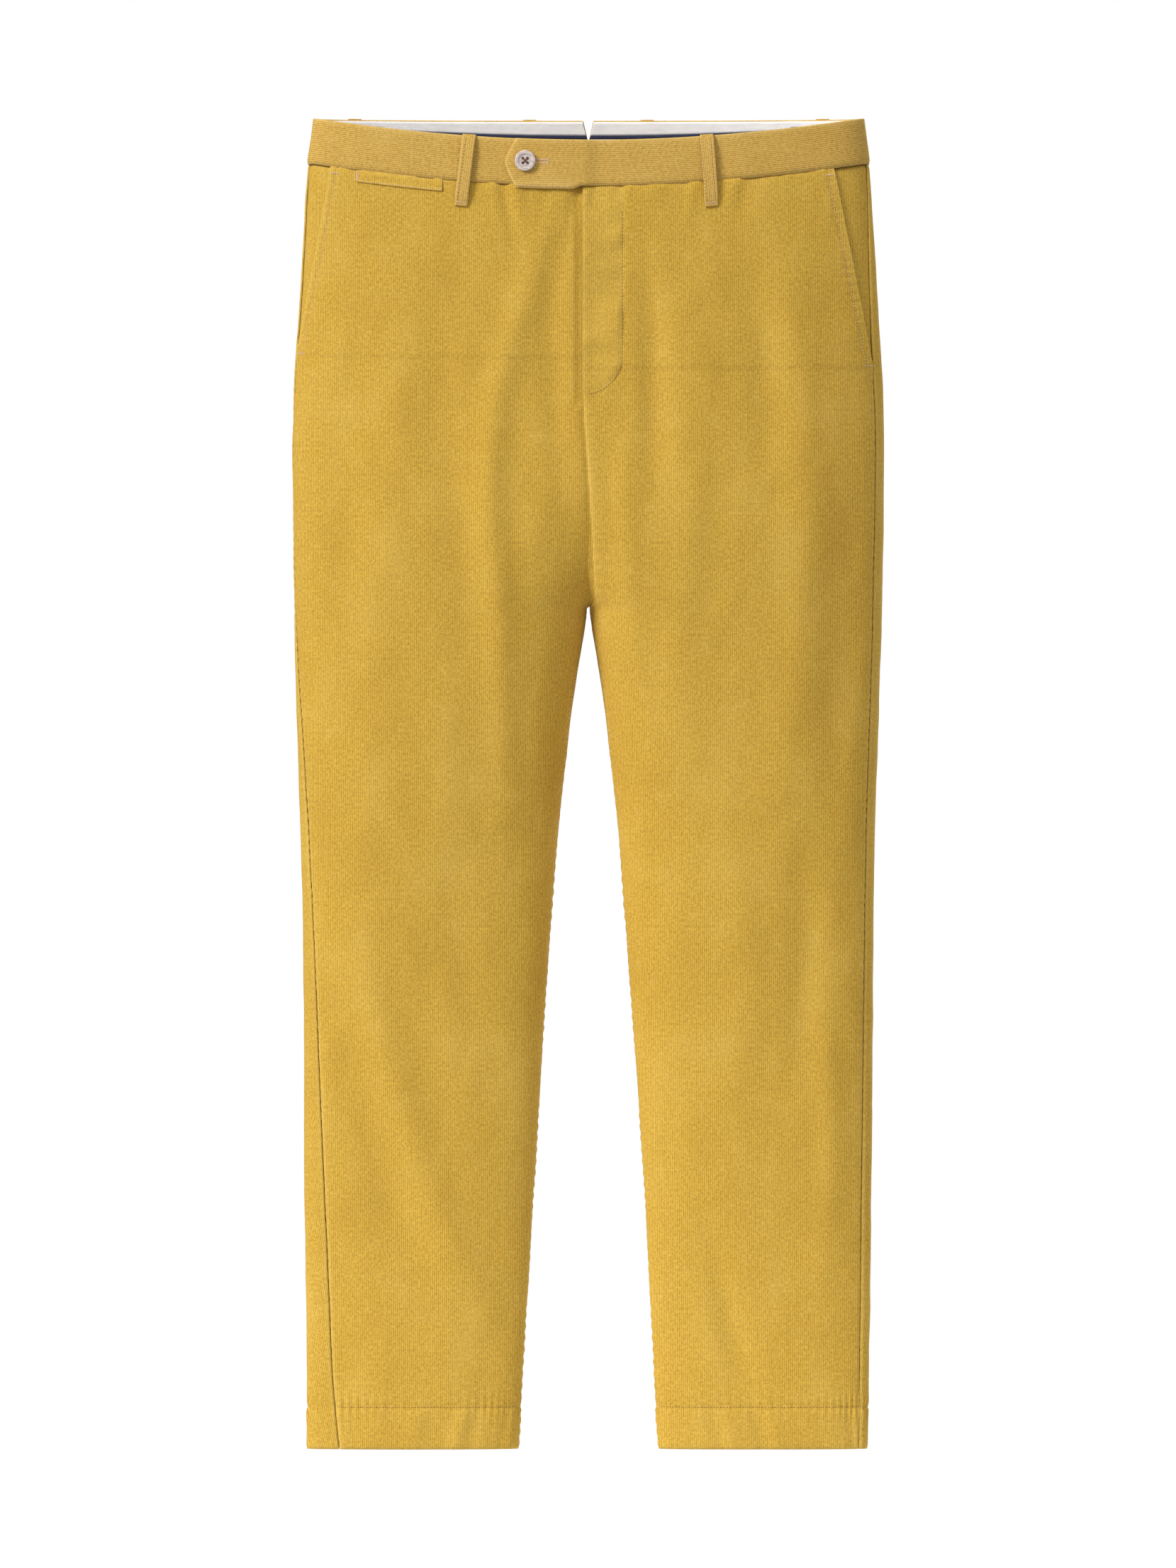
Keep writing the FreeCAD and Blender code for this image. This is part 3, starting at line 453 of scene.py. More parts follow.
def corduroy(name, crest, groove_and_shade, worn):
    n = Nodes(name, 0.9, Sheen_Weight=0.22, Sheen_Roughness=0.45,
              Sheen_Tint=linear(255, 226, 150), Specular_IOR_Level=0.25)
    grain = n.grain()
    parts = n.add("ShaderNodeSeparateXYZ", {0: grain})
    sway = n.times(n.noise(n.scaled(grain, (60, 22, 1)), 1, 2), 0.9)
    across = n.plus(n.math("DIVIDE", parts.outputs["X"], WALE), sway)
    wave = n.math("COSINE", n.times(across, 2 * PI))
    tuft = n.noise(n.scaled(grain, (0.8 / WALE, 420, 1)), 1, 2, 0.6)
    soft = n.times(wave, 0.42)
    rib = n.ramp(n.plus(soft, n.times(n.math("SUBTRACT", tuft, 0.5), 2.4)),
                 -0.85, 0.75)
    fibre = n.noise(n.scaled(grain, (2400, 1300, 1)), 1, 2, 0.7)
    # Painted shade in part: the grooves between the wales take the darker groove colour, both the pile's
    # own darker ground and shade painted into the recesses.
    base = n.mix(rib, groove_and_shade, crest)
    base = n.mix(n.times(n.math("SUBTRACT", fibre, 0.42), 0.55), base, worn)
    patch = n.noise(n.scaled(grain, (17, 11, 1)), 1, 3, 0.55)
    base = n.mix(n.times(n.ramp(patch, 0.45, 0.75), 0.16), base, worn)
    base = n.mix(n.times(n.ramp(patch, 0.52, 0.25), 0.20), base, groove_and_shade)
    blotch = n.noise(n.scaled(grain, (90, 60, 1)), 1, 3, 0.6)
    base = n.mix(n.times(n.ramp(blotch, 0.5, 0.8), 0.16), base, worn)
    # The mesh attribute lightens rubbed places as real wear; its values below 0 carry painted shade.
    wear_and_shade = n.add("ShaderNodeAttribute", attribute_name="wear_and_shade").outputs["Fac"]
    base = n.mix(n.times(wear_and_shade, n.plus(0.2, n.times(fibre, 0.6))),
                 base, worn)
    # Painted shade: where the attribute is below 0 the cloth darkens towards the groove colour.
    dark = n.times(n.math("MAXIMUM", n.times(wear_and_shade, -1), 0), 0.7)
    base = n.mix(dark, base, groove_and_shade)
    n.colour(base)
    n.bump(n.plus(rib, n.times(fibre, 0.7)), 0.17 * MM, 0.7)
    return n.material


def weave(name, light, dark, thread):
    """Plain woven cloth or tape."""
    n = Nodes(name, 0.85, Sheen_Weight=0.1, Specular_IOR_Level=0.3)
    grain = n.grain()
    parts = n.add("ShaderNodeSeparateXYZ", {0: grain})
    warp = n.math("SINE", n.times(parts.outputs["X"], 2 * PI / thread))
    weft = n.math("SINE", n.times(parts.outputs["Y"], 2 * PI / thread))
    cross = n.times(warp, weft)
    slub = n.noise(n.scaled(grain, (90, 340, 1)), 1, 3, 0.6)
    tone = n.ramp(n.plus(n.times(cross, 0.25), slub), 0.15, 0.85)
    n.colour(n.mix(tone, dark, light))
    n.bump(n.plus(cross, slub), 0.08 * MM, 0.6)
    return n.material


def thread(name, light, dark):
    """Twisted sewing thread."""
    n = Nodes(name, 0.7, Sheen_Weight=0.2, Specular_IOR_Level=0.35)
    place = n.add("ShaderNodeTexCoord").outputs["Object"]
    ply = n.noise(n.scaled(place, (1, 1, 2.5)), 1500, 2)
    n.colour(n.mix(n.ramp(ply, 0.3, 0.7), dark, light))
    n.bump(ply, 0.06 * MM, 0.8)
    return n.material


def horn(name, light, dark):
    """Pale button stuff with faint streaks."""
    n = Nodes(name, 0.32, Coat_Weight=0.25, Coat_Roughness=0.2, Subsurface_Weight=0.05)
    place = n.add("ShaderNodeTexCoord").outputs["Object"]
    streak = n.noise(n.scaled(place, (1, 1, 3.5)), 190, 4, 0.65)
    n.colour(n.mix(n.ramp(streak, 0.3, 0.7), dark, light))
    n.give(n.shader.inputs["Roughness"], n.plus(0.24, n.times(streak, 0.22)))
    n.bump(streak, 0.03 * MM, 0.5)
    return n.material


def brass(name):
    n = Nodes(name, 0.34, Metallic=1.0)
    place = n.add("ShaderNodeTexCoord").outputs["Object"]
    tarnish = n.noise(place, 700, 4, 0.6)
    n.colour(n.mix(n.ramp(tarnish, 0.4, 0.75), linear(214, 178, 108), linear(150, 112, 58)))
    n.give(n.shader.inputs["Roughness"], n.plus(0.24, n.times(tarnish, 0.3)))
    n.bump(tarnish, 0.03 * MM, 0.5)
    return n.material


# Each corduroy's colours: the wale crest, the groove darkened partly with painted shade, and the lighter
# rubbed wear.
CORD = corduroy("corduroy", linear(205, 166, 62), linear(158, 118, 34), linear(221, 187, 98))
TRIM = corduroy("corduroy_trim", linear(204, 166, 80), linear(160, 120, 48), linear(220, 188, 118))
COTTON = weave("cotton_lining", linear(250, 247, 245), linear(232, 228, 225), 0.45 * MM)
POCKETING = weave("pocketing", linear(232, 226, 214), linear(204, 196, 182), 0.5 * MM)
NAVY = weave("navy_piping", linear(44, 50, 78), linear(24, 27, 46), 0.4 * MM)
ZIP_TAPE = weave("zip_tape", linear(196, 158, 76), linear(160, 122, 50), 0.6 * MM)
TAN = thread("tan_thread", linear(226, 196, 158), linear(176, 138, 100))
SEWING = thread("sewing_thread", linear(168, 124, 56), linear(122, 84, 34))
BROWN = thread("brown_thread", linear(104, 62, 48), linear(58, 30, 24))
BUTTON = horn("button_horn", linear(214, 200, 192), linear(174, 156, 150))
BRASS = brass("zip_brass")


def dress(piece, material):
    piece.data.materials.clear()
    piece.data.materials.append(material)


# ---- panels

POCKET_TOP_X = {LEFT: 197 * MM, RIGHT: 207 * MM}
POCKET_END = {LEFT: -200 * MM, RIGHT: -190 * MM}
BAND_SEAM = -BAND
PANEL_TOP, PANEL_PITCH = BAND_SEAM + 0.6 * MM, 2.4 * MM
FRONT_COLUMNS, BACK_COLUMNS = 118, 150
GRAIN_X = 131 * MM          # the crease line, which the wales run along


def side_seam(side, level):
    """x of the side seam."""
    shift = {LEFT: [(-36.5, 1.5), (-200, 7.0), (-1069, 7.5)],
             RIGHT: [(-390, 0.5), (-930, 17.5), (-1009, 20.0), (-1069, 25.0)]}[side]
    return smooth(OUTER, level) - smooth(shift, level)


def slash(side, level):
    """x of the slash pocket's edge, and of the side seam below it."""
    t = (level - BAND_SEAM) / (POCKET_END[side] - BAND_SEAM)
    start, end = POCKET_TOP_X[side], side_seam(side, POCKET_END[side])
    return np.where(t < 1, start + (end - start) * t, side_seam(side, level))


def edge_run(points):
    """Distances from the first and from the last column of a grid."""
    length = run(points, 1)
    return length, length[:, -1:] - length


def puckers(along, distance, pitch, reach, height, seed):
    """Ladder-like gathers beside a line of stitching."""
    beat = noise(along / (6 * pitch), 0.5, 0.5, seed)
    wave = np.sin(2 * PI * (along / pitch + 0.8 * beat))
    drift = 0.55 + 0.45 * noise(along / (3 * pitch), 0, 0, seed + 1)
    return height * wave * drift * bell(distance, reach)


def seam_dent(distance, depth, width):
    return -depth * bell(distance, width)


def grain_map(points, from_x, back=False):
    """Grain coordinates of a grid: across from the crease, and down."""
    length = run(points, 1)
    x = np.abs(points[..., 0])
    front = points[..., 1] < 0
    usable = np.where(front != back, x, 9.0)
    nearest = np.argmin(np.abs(usable - from_x), axis=1)
    here = np.take_along_axis(length, nearest[:, None], 1)
    remainder = np.take_along_axis(x, nearest[:, None], 1) - from_x
    return np.stack([length - here + remainder, points[..., 2]], -1)


def hem_folds(turn, level, side):
    """Upright gathers in the turned-up hem, and the dent of its stitching."""
    below = step(HEM + HEM_HEIGHT + 3 * MM, HEM + HEM_HEIGHT - 7 * MM, level)
    swing = turn * 118 * MM
    wave = noise(swing / 0.017 + (level - HEM) / 0.06, 0, side + 2.5, 21)
    line = level - HEM - HEM_HEIGHT
    dent = seam_dent(line, 0.9 * MM, 1.6 * MM)
    above = puckers(swing, line, 11 * MM, 12 * MM, 0.55 * MM, 23 + side)
    edge = seam_dent(level - HEM, 0.5 * MM, 1.2 * MM)
    return 1.3 * MM * wave * below + dent + above + edge


def waist_gathers(x, level):
    """Short folds that fall from the waistband, most of them under the tab."""
    depth = BAND_SEAM - level
    under_tab = bell(x + 45 * MM, 42 * MM)
    under_loop = bell(x - 100 * MM, 34 * MM)
    reach = (12 + 34 * under_tab + 22 * under_loop) * MM
    height = (0.6 + 2.4 * under_tab + 1.2 * under_loop) * MM
    fan = x + 0.16 * depth * np.sign(x + 45 * MM)
    wave = noise(fan / 0.0085, depth / 0.12, 3.5, 31)
    fine = noise(fan / 0.0045, depth / 0.06, 1.5, 33)
    fade = bell(depth, reach)
    return (height * wave + 0.3 * MM * fine) * fade + seam_dent(depth, 0.8 * MM, 1.6 * MM)


CENTRE_SEAM = [(-223, -4.6), (-386, 4.4), (-393, 0.0)]      # it leans to the wearer's left


def inseam(side, level):
    """How far round to the front the inseam lies, beside the inner edge of a leg."""
    reach = {LEFT: 3.2 * MM, RIGHT: 5.6 * MM}[side]
    return reach * step(-398 * MM, -424 * MM, level) * step(-575 * MM, -440 * MM, level)


def inner_edge(side, level):
    """x of a front panel's inner edge, on its own half. The right one runs in under the fly."""
    seam = smooth(CENTRE_SEAM, level) * side
    if side == RIGHT:
        under = step(FLY_END - 14 * MM, FLY_END - 2 * MM, level)
        seam = seam + (-3 * MM - seam) * under
    return np.where(level > FORK, seam, smooth(INNER, level) + inseam(side, level))


FLY_WIDTH = 32 * MM


def stitch_j(level):
    """x of the fly's line of stitching."""
    t = np.clip((FLY_END + FLY_WIDTH - level) / FLY_WIDTH, 0, 1)
    return FLY_EDGE + FLY_WIDTH * np.sqrt(1 - t * t)


def front_panel(side):
    levels = rows_of(PANEL_TOP, HEM, PANEL_PITCH)[:, None]
    inner, outer = inner_edge(side, levels), slash(side, levels) - 0.2 * MM
    t = np.linspace(0, 1, FRONT_COLUMNS)[None, :]
    x = inner + (outer - inner) * (1 - np.cos(PI * t)) / 2
    turn = turn_at(x, levels)
    level = np.broadcast_to(levels, turn.shape)
    bare, _ = surface(side, turn, level)
    start, end = edge_run(bare)
    real_x = bare[..., 0]
    at_fly = bell(start, 7 * MM) * step(FLY_END - 8 * MM, FLY_END + 4 * MM, level)
    lift = hem_folds(turn, level, side) + waist_gathers(real_x, level)
    lift = lift + np.where(level < FORK, puckers(-level, start, 9 * MM, 8 * MM, 0.5 * MM, 41), 0)
    in_pocket = level > POCKET_END[side]
    ladder = puckers(-level, end - POCKET_STITCH / 2, 6.5 * MM, 7 * MM, 0.55 * MM, 43 + side)
    dent = seam_dent(end - POCKET_STITCH, 0.45 * MM, 0.9 * MM)
    lift = lift + np.where(in_pocket, ladder + dent + 0.5 * MM,
                           puckers(-level, end, 8 * MM, 7 * MM, 0.35 * MM, 45))
    seam = step(POCKET_END[side], POCKET_END[side] - 12 * MM, level)
    lift = lift + seam_dent(end, 0.9 * MM, 1.3 * MM) * seam
    wear_and_shade = 0.55 * bell(end, 2.4 * MM)
    wear_and_shade = wear_and_shade + 0.4 * bell(start, 2.0 * MM) * (level > FORK)
    if side == LEFT:
        from_j = real_x - stitch_j(level)
        in_fly = step(FLY_END - 2 * MM, FLY_END + 6 * MM, level)
        lift = lift + seam_dent(from_j, 0.7 * MM, 1.3 * MM) * in_fly
        inside = step(2 * MM, -3 * MM, from_j) * in_fly
        cross = noise(real_x / 0.03, level / 0.0135, 0, 51)
        lift = lift + (1.5 * MM * cross + 0.6 * MM) * inside
        lift = lift + 0.8 * MM * at_fly
        wear_and_shade = wear_and_shade + 0.35 * bell(from_j + 1.2 * MM, 1.8 * MM) * in_fly
        wear_and_shade = wear_and_shade + 0.14 * inside
        centre = step(FLY_END + 2 * MM, FLY_END - 12 * MM, level) * step(FORK - 10 * MM, FORK, level)
        lift = lift + (0.5 * MM * bell(start - 5 * MM, 7 * MM)
                       + seam_dent(start, 0.8 * MM, 1.4 * MM)) * centre
        lift = lift + puckers(-level, start, 9 * MM, 8 * MM, 0.5 * MM, 47) * centre
        wear_and_shade = wear_and_shade + 0.15 * bell(start - 4 * MM, 5 * MM) * centre
    else:
        under = step(13 * MM, 7 * MM, np.where(turn < 0, -1, 1) * np.abs(real_x))
        under = under * step(FLY_END - 12 * MM, FLY_END - 4 * MM, level)
        lift = lift - 1.7 * MM * under
        centre = step(FORK - 4 * MM, FORK + 8 * MM, level)
        lift = lift + seam_dent(start, 0.9 * MM, 2.5 * MM) * centre * (1 - under)
        # Painted shade: the right panel darkens along its centre-seam edge above the fork, beside the
        # left front that overlaps it.
        wear_and_shade = wear_and_shade - 0.3 * bell(start, 12 * MM) * centre
    wear_and_shade = wear_and_shade + 0.45 * bell(level - HEM, 1.6 * MM)
    points = stand(side, turn, level, 0.0, lift)
    grain = grain_map(bare, GRAIN_X)
    piece = cloth("front_panel_" + NAMES[side], points, grain, side == LEFT, wear_and_shade)
    dress(piece, CORD)
    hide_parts("front_panel_%s_upper" % NAMES[side], "front_panel_%s_lower" % NAMES[side])
    sheet(piece, bare, "hung", "waistband_" + NAMES[side])
    return piece


def back_panel(side):
    levels = rows_of(PANEL_TOP, HEM, PANEL_PITCH)[:, None]
    start_turn = turn_at(side_seam(side, levels) + 0.2 * MM, levels)
    last = 2 * PI + turn_at(smooth(INNER, levels) + inseam(side, levels), levels) - 0.004
    t = np.linspace(0, 1, BACK_COLUMNS)[None, :]
    turn = start_turn + (last - start_turn) * t
    level = np.broadcast_to(levels, turn.shape)
    bare, _ = surface(side, turn, level)
    start, end = edge_run(bare)
    real_x = bare[..., 0]
    lift = hem_folds(turn, level, side)
    depth = BAND_SEAM - level
    fine = noise(real_x / 0.011, depth / 0.08, 2.5, 61)
    lift = lift + 0.7 * MM * fine * bell(depth, 20 * MM)
    lift = lift + seam_dent(depth, 0.8 * MM, 1.6 * MM)
    low = step(POCKET_END[side] + 4 * MM, POCKET_END[side] - 12 * MM, level)
    lift = lift + seam_dent(start, 0.7 * MM, 1.2 * MM)
    lift = lift + puckers(-level, start, 8 * MM, 7 * MM, 0.4 * MM, 63) * low
    lift = lift + seam_dent(end, 0.9 * MM, 2.0 * MM)
    lift = lift + puckers(-level, end, 10 * MM, 9 * MM, 0.55 * MM, 65)
    dart = ridge(np.abs(real_x), level, [(103, -38), (106, -70), (108, -86)], 1.6, -1.1)
    lift = lift + dart * (turn > PI) * (turn < 2 * PI)
    wear_and_shade = 0.5 * bell(start - 1.2 * MM, 1.6 * MM)
    wear_and_shade = wear_and_shade + 0.35 * bell(end - 2 * MM, 2.5 * MM)
    wear_and_shade = wear_and_shade + 0.45 * bell(level - HEM, 1.6 * MM)
    points = stand(side, turn, level, 0.0, lift)
    grain = grain_map(bare, GRAIN_X, back=True)
    bias = bell(end, 30 * MM) * step(-0.70, -0.42, level)
    grain[..., 0] = grain[..., 0] + 0.9 * (level - FORK) * bias
    piece = cloth("back_panel_" + NAMES[side], points, grain, side == LEFT, wear_and_shade)
    dress(piece, CORD)
    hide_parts("back_panel_%s_upper" % NAMES[side], "back_panel_%s_lower" % NAMES[side])
    sheet(piece, bare, "hung", "waistband_" + NAMES[side])
    return piece


def fold_at_knee(piece):
    """Bake a panel's placement into its mesh."""
    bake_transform(piece)


def hem_turnup(side):
    """The hem's inner layer, which shows from below."""
    levels = rows_of(HEM + HEM_HEIGHT, HEM + 1.2 * MM, 3 * MM)[:, None]
    turn = np.linspace(0.02, 2 * PI - 0.02, 170)[None, :]
    turn, level = np.broadcast_arrays(turn, levels)
    points = stand(side, turn, level, -CLOTH - 0.35 * MM, hem_folds(turn, level, side))
    bare, _ = surface(side, turn, level)
    piece = cloth("hem_turnup_" + NAMES[side], points, grain_map(bare, GRAIN_X), side == LEFT,
                  0.3 * bell(level - HEM, 2 * MM), 1.0 * MM)
    dress(piece, CORD)
    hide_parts("hem_turnup_" + NAMES[side])
    sheet(piece, bare, "folded", "front_panel_" + NAMES[side], "back_panel_" + NAMES[side])
    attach(piece, "lower_leg_" + NAMES[side])


# ---- the waistband

NOTCH_HALF, NOTCH_LEVEL = 3.8 * MM, -16 * MM
TAB_END, TAB_TIP, TAB_DROP = -66.5 * MM, 9 * MM, -39.5 * MM
BAND_OUT, BAND_IN = 0.9 * MM, -1.1 * MM
TAB_LIFT = 1.75 * MM        # how far the tab stands off the band under it
RIGHT_START = 5.4 * MM      # where the right half begins, under the tab
BAND_SHARE = 0.4            # how much of the panels' relief the waistband follows


def back_edge(level, gap=0.3 * MM):
    half = NOTCH_HALF * np.clip(1 - level / NOTCH_LEVEL, 0, 1) + gap
    return turn_at(half, level, front=False)


def rounded(wave, power):
    """A sine or cosine squared off, for a section between a round and a box."""
    return np.sign(wave) * np.abs(wave) ** power


def band_relief(point, level):
    """Gathers across the waistband."""
    x, y, z = point[..., 0], point[..., 1], point[..., 2]
    lean = x + 0.25 * (level + BAND / 2)
    wave = noise(lean / 0.017, y / 0.03, 1.5, 71)
    broad = noise(lean / 0.045, y / 0.05, 2.5, 73)
    middle = 1 - 0.35 * np.abs(level / BAND + 0.5) * 2
    return (0.8 * MM * wave + 0.9 * MM * broad) * middle


def band_section(top, bottom, thick, count=12):
    """(level, depth below the outer face) round the waistband's section: outer face from the
    bottom up, over the rolled top, and down the inner face."""
    r = thick / 2
    outer = [(lv, 0.0) for lv in np.linspace(bottom, top - r, count)]
    roll = [(top - r + r * math.sin(a), r - r * math.cos(a)) for a in np.linspace(0.3, PI - 0.3, 5)]
    inner = [(lv, thick) for lv in np.linspace(top - r, bottom, count)]
    return np.array(outer + roll + inner)


def waistband(side):
    section = band_section(0.4 * MM, BAND_SEAM - 0.2 * MM, 2.0 * MM)
    level = section[None, :, 0]
    height = np.clip(-level / BAND, 0, 1)
    if side == LEFT:
        lean = np.abs(level / (BAND_SEAM / 2) - 1)
        first = turn_at(TAB_END + TAB_TIP * lean ** 1.3, level)
    else:
        first = turn_at(RIGHT_START, level)
    last = back_edge(level)
    t = np.linspace(0, 1, 300)[:, None]
    turn = first + (last - first) * t
    tab = 0
    if side == LEFT:
        x = surface(side, turn, level + 0 * turn)[0][..., 0]
        tab = step(9 * MM, -4 * MM, x) * (turn < 1.2)
        level = level + (TAB_DROP - BAND_SEAM) * height * step(-4 * MM, -14 * MM, x) * (turn < 1.2)
    level = level + 0 * turn
    bare, out = surface(side, turn, level)
    depth = section[None, :, 1]
    tuck = 0.9 * MM * bell(level - BAND_SEAM, 1.1 * MM) * (1 - tab)
    offset = BAND_OUT + TAB_LIFT * tab - depth * (1 - 0.15 * tab) - tuck * (depth < MM)
    calm = bell(bare[..., 0] + 50.7 * MM, 26 * MM) * (turn < PI)
    lift = relief(bare, np.abs(turn)) * BAND_SHARE + band_relief(bare, level) * (1 - 0.75 * calm)
    along = run(bare, 0)
    edge = np.minimum(along, along[-1:] - along)
    lift = lift - 0.5 * MM * bell(edge, 1.2 * MM)
    points = bare + out * (offset + lift)[..., None]
    grain = np.stack([level + depth * 2, along], -1)
    grain = np.concatenate([grain, grain[:, :1] + (0.004, 0)], 1)
    worn = 0.6 * bell(level - 0.2 * MM, 1.3 * MM)
    worn = worn + 0.4 * bell(level - BAND_SEAM, 1.5 * MM)
    worn = worn + 0.5 * bell(edge, 1.4 * MM)
    piece = closed("waistband_" + NAMES[side], points, grain, side == RIGHT, worn, "trousers")
    dress(piece, TRIM)
    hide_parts("waistband_" + NAMES[side])
    return piece


def lining(side):
    """White cotton inside the waistband, its navy piping, and the curtain below."""
    name = NAMES[side]
    fore = {LEFT: 4 * MM, RIGHT: 13 * MM}[side]

    def strip(part, top, bottom, offset, thickness, material, inset, wavy):
        levels = rows_of(top, bottom, 1.6 * MM)[:, None]
        t = np.linspace(0, 1, 240)[None, :]
        first = turn_at(fore + inset, levels)
        last = back_edge(levels, 0.5 * MM) - 0.012
        turn = first + (last - first) * t
        level = levels + 0 * turn
        bare, _ = surface(side, turn, level)
        rise = 3.2 * MM * np.clip(np.abs(bare[..., 0]) / (140 * MM), 0, 1.2) ** 2
        level = level + rise * step(-5 * MM, -11 * MM, level)
        bare, out = surface(side, turn, level)
        x, y = bare[..., 0], bare[..., 1]
        lift = relief(bare, np.abs(turn)) * BAND_SHARE + band_relief(bare, level)
        lift = lift + wavy * noise(x / 0.02, y / 0.02, level / 0.02, 81)
        points = bare + out * (offset + lift)[..., None]
        grain = np.stack([run(bare, 1), level], -1)
        piece = cloth(part + name, points, grain, side == LEFT, None, thickness, "trousers")
        dress(piece, material)
        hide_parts(part + name)
        if bottom < top - 5 * MM:
            sheet(piece, bare, "hung", "waistband_" + name)
        return piece

    made = strip("waistband_lining_", -0.5 * MM, -11.6 * MM, BAND_IN - 0.5 * MM, 0.7 * MM,
                 COTTON, 0, 0.15 * MM)
    strip("waistband_piping_", -11.4 * MM, -14.6 * MM, BAND_IN - 0.9 * MM, 1.3 * MM,
          NAVY, 0, 0)
    strip("waist_curtain_", -14.4 * MM, -58 * MM, -3.6 * MM, 0.8 * MM,
          COTTON, 24 * MM, 0.5 * MM)
    return made


LOOP_END = -57 * MM


def belt_loops():
    """Six loops, each from the top of the waistband to 20 mm below it."""
    # name: (x in mm, whether in front, side, how far the foot leans outwards in mm)
    places = {"front_left": (94.0, True, LEFT, 4.4), "front_right": (94.3, True, RIGHT, 7.5),
              "side_left": (188, False, LEFT, 0), "side_right": (188, False, RIGHT, 0),
              "back_left": (47, False, LEFT, 0), "back_right": (47, False, RIGHT, 0)}
    made = {}
    # (height, how far the loop stands off the band)
    clear = [(1.2, 0.4), (-1.5, 1.3), (-6, 2.4), (-16, 3.1), (-32, 3.0), (-44, 2.2), (-52, 1.2),
             (-56.5, 0.6), (-57.2, 0.2)]
    half, thick = 5.3 * MM, 1.7 * MM
    angle = np.linspace(0, 2 * PI, 28, endpoint=False)
    across = half * rounded(np.cos(angle), 0.35)
    rise = thick / 2 * rounded(np.sin(angle), 0.6)
    edge_bead = 1 + 0.22 * bell(np.abs(across) - half, 1.4 * MM)
    for index, (name, (x, front, side, lean)) in enumerate(places.items()):
        levels = np.concatenate([rows_of(1.2 * MM, -56.5 * MM, 0.9 * MM), [-57.2 * MM]])[:, None]
        shift = -lean * levels / 57
        wobble = 0.35 * MM * noise(levels / 0.02, 0, index, 91)
        centre = x * MM + shift + wobble
        narrow = 1 - 0.06 * step(-50 * MM, LOOP_END, levels)
        turn = turn_at(centre + across[None, :] * narrow, levels, front)
        level = levels + 0 * turn
        bare, out = surface(side, turn, level)
        lift = relief(bare, np.abs(turn)) * BAND_SHARE + 0.6 * band_relief(bare, level)
        crown = smooth(clear, levels)
        bow = 0.25 * MM * noise(levels / 0.012, 0, index, 93)
        pinch = np.where(np.abs(levels + 55 * MM) < 1.5 * MM, 0.8, 1.0)
        offset = 0.3 * MM + crown + bow + (rise[None, :] * edge_bead + thick / 2) * pinch
        points = bare + out * (offset + lift)[..., None]
        u = np.concatenate([across, across[:1]])[None, :] + 0 * levels
        grain = np.stack([u, level[:, :1] + 0 * u], -1)
        worn = 0.7 * bell(np.abs(across) - half, 0.9 * MM)[None, :] + 0 * levels
        piece = closed("belt_loop_" + name, points, grain, (side == LEFT) != front, worn,
                       "trousers")
        dress(piece, TRIM)
        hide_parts("belt_loop_" + name)
        made[name] = piece, x * MM, front, side, lean * MM
    return made


# ---- pockets, fly and stitches

def patch(name, front, side, levels, low, high, offset, thickness, columns=40, extra=None):
    """A sheet of corduroy across the front or back between two x limits, following the folds."""
    levels = np.asarray(levels)[:, None]
    t = np.linspace(0, 1, columns)[None, :]
    a, b = (end(levels) if callable(end) else end for end in (low, high))
    turn = turn_at(a + (b - a) * t, levels, front)
    level = levels + 0 * turn
    bare, _ = surface(side, turn, level)
    start, end = edge_run(bare)
    top, bottom = level[:1] - level, level - level[-1:]
    lift = extra(bare, level, start, end) if extra else 0.0
    points = stand(side, turn, level, offset, lift)
    edge = np.minimum(np.minimum(start, end), np.minimum(top, bottom))
    wear_and_shade = 0.6 * bell(edge, 1.1 * MM)
    piece = cloth(name, points, grain_map(bare, GRAIN_X, back=not front),
                  (side == LEFT) == front, wear_and_shade, thickness, "trousers")
    dress(piece, CORD)
    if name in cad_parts:
        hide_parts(name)
    if min(run(bare, 1)[0, -1], run(bare, 0)[-1, 0]) > 10 * MM:
        sheet(piece, bare, "hung", ("front_panel_" if front else "back_panel_") + NAMES[side])
    return piece


def flat_lift(bare, level, start, end):
    return waist_gathers(bare[..., 0], level) * 0.9


COIN = (116.3 * MM, 185.5 * MM)
COIN_WELT = 9.5 * MM
BACK_WELT = (60 * MM, 188 * MM)
BACK_WELT_LEVEL = -92 * MM
JET = 5 * MM


def roll(start_value, end_value):
    """A rounded edge along the foot of a lip."""
    def lift(bare, level, start, end):
        low = bell(level - end_value, 1.8 * MM)
        high = bell(level - start_value, 1.8 * MM)
        return flat_lift(bare, level, start, end) + 0.45 * MM * low - 0.25 * MM * high
    return lift


def coin_pocket():
    foot = BAND_SEAM - COIN_WELT
    welt = patch("coin_pocket_welt", True, RIGHT, rows_of(BAND_SEAM + 0.4 * MM, foot, 0.7 * MM),
                 COIN[0], COIN[1], 1.2 * MM, 0.85 * MM, 90, roll(BAND_SEAM, foot))
    bag("coin_pocket_bag", True, RIGHT, -60 * MM, -118 * MM,
        lambda lv: COIN[0] + 4 * MM - (lv + 60 * MM) * 0.05,
        lambda lv: COIN[1] - 14 * MM + (lv + 60 * MM) * 0.05, -1.8 * MM, -3.1 * MM)
    return welt


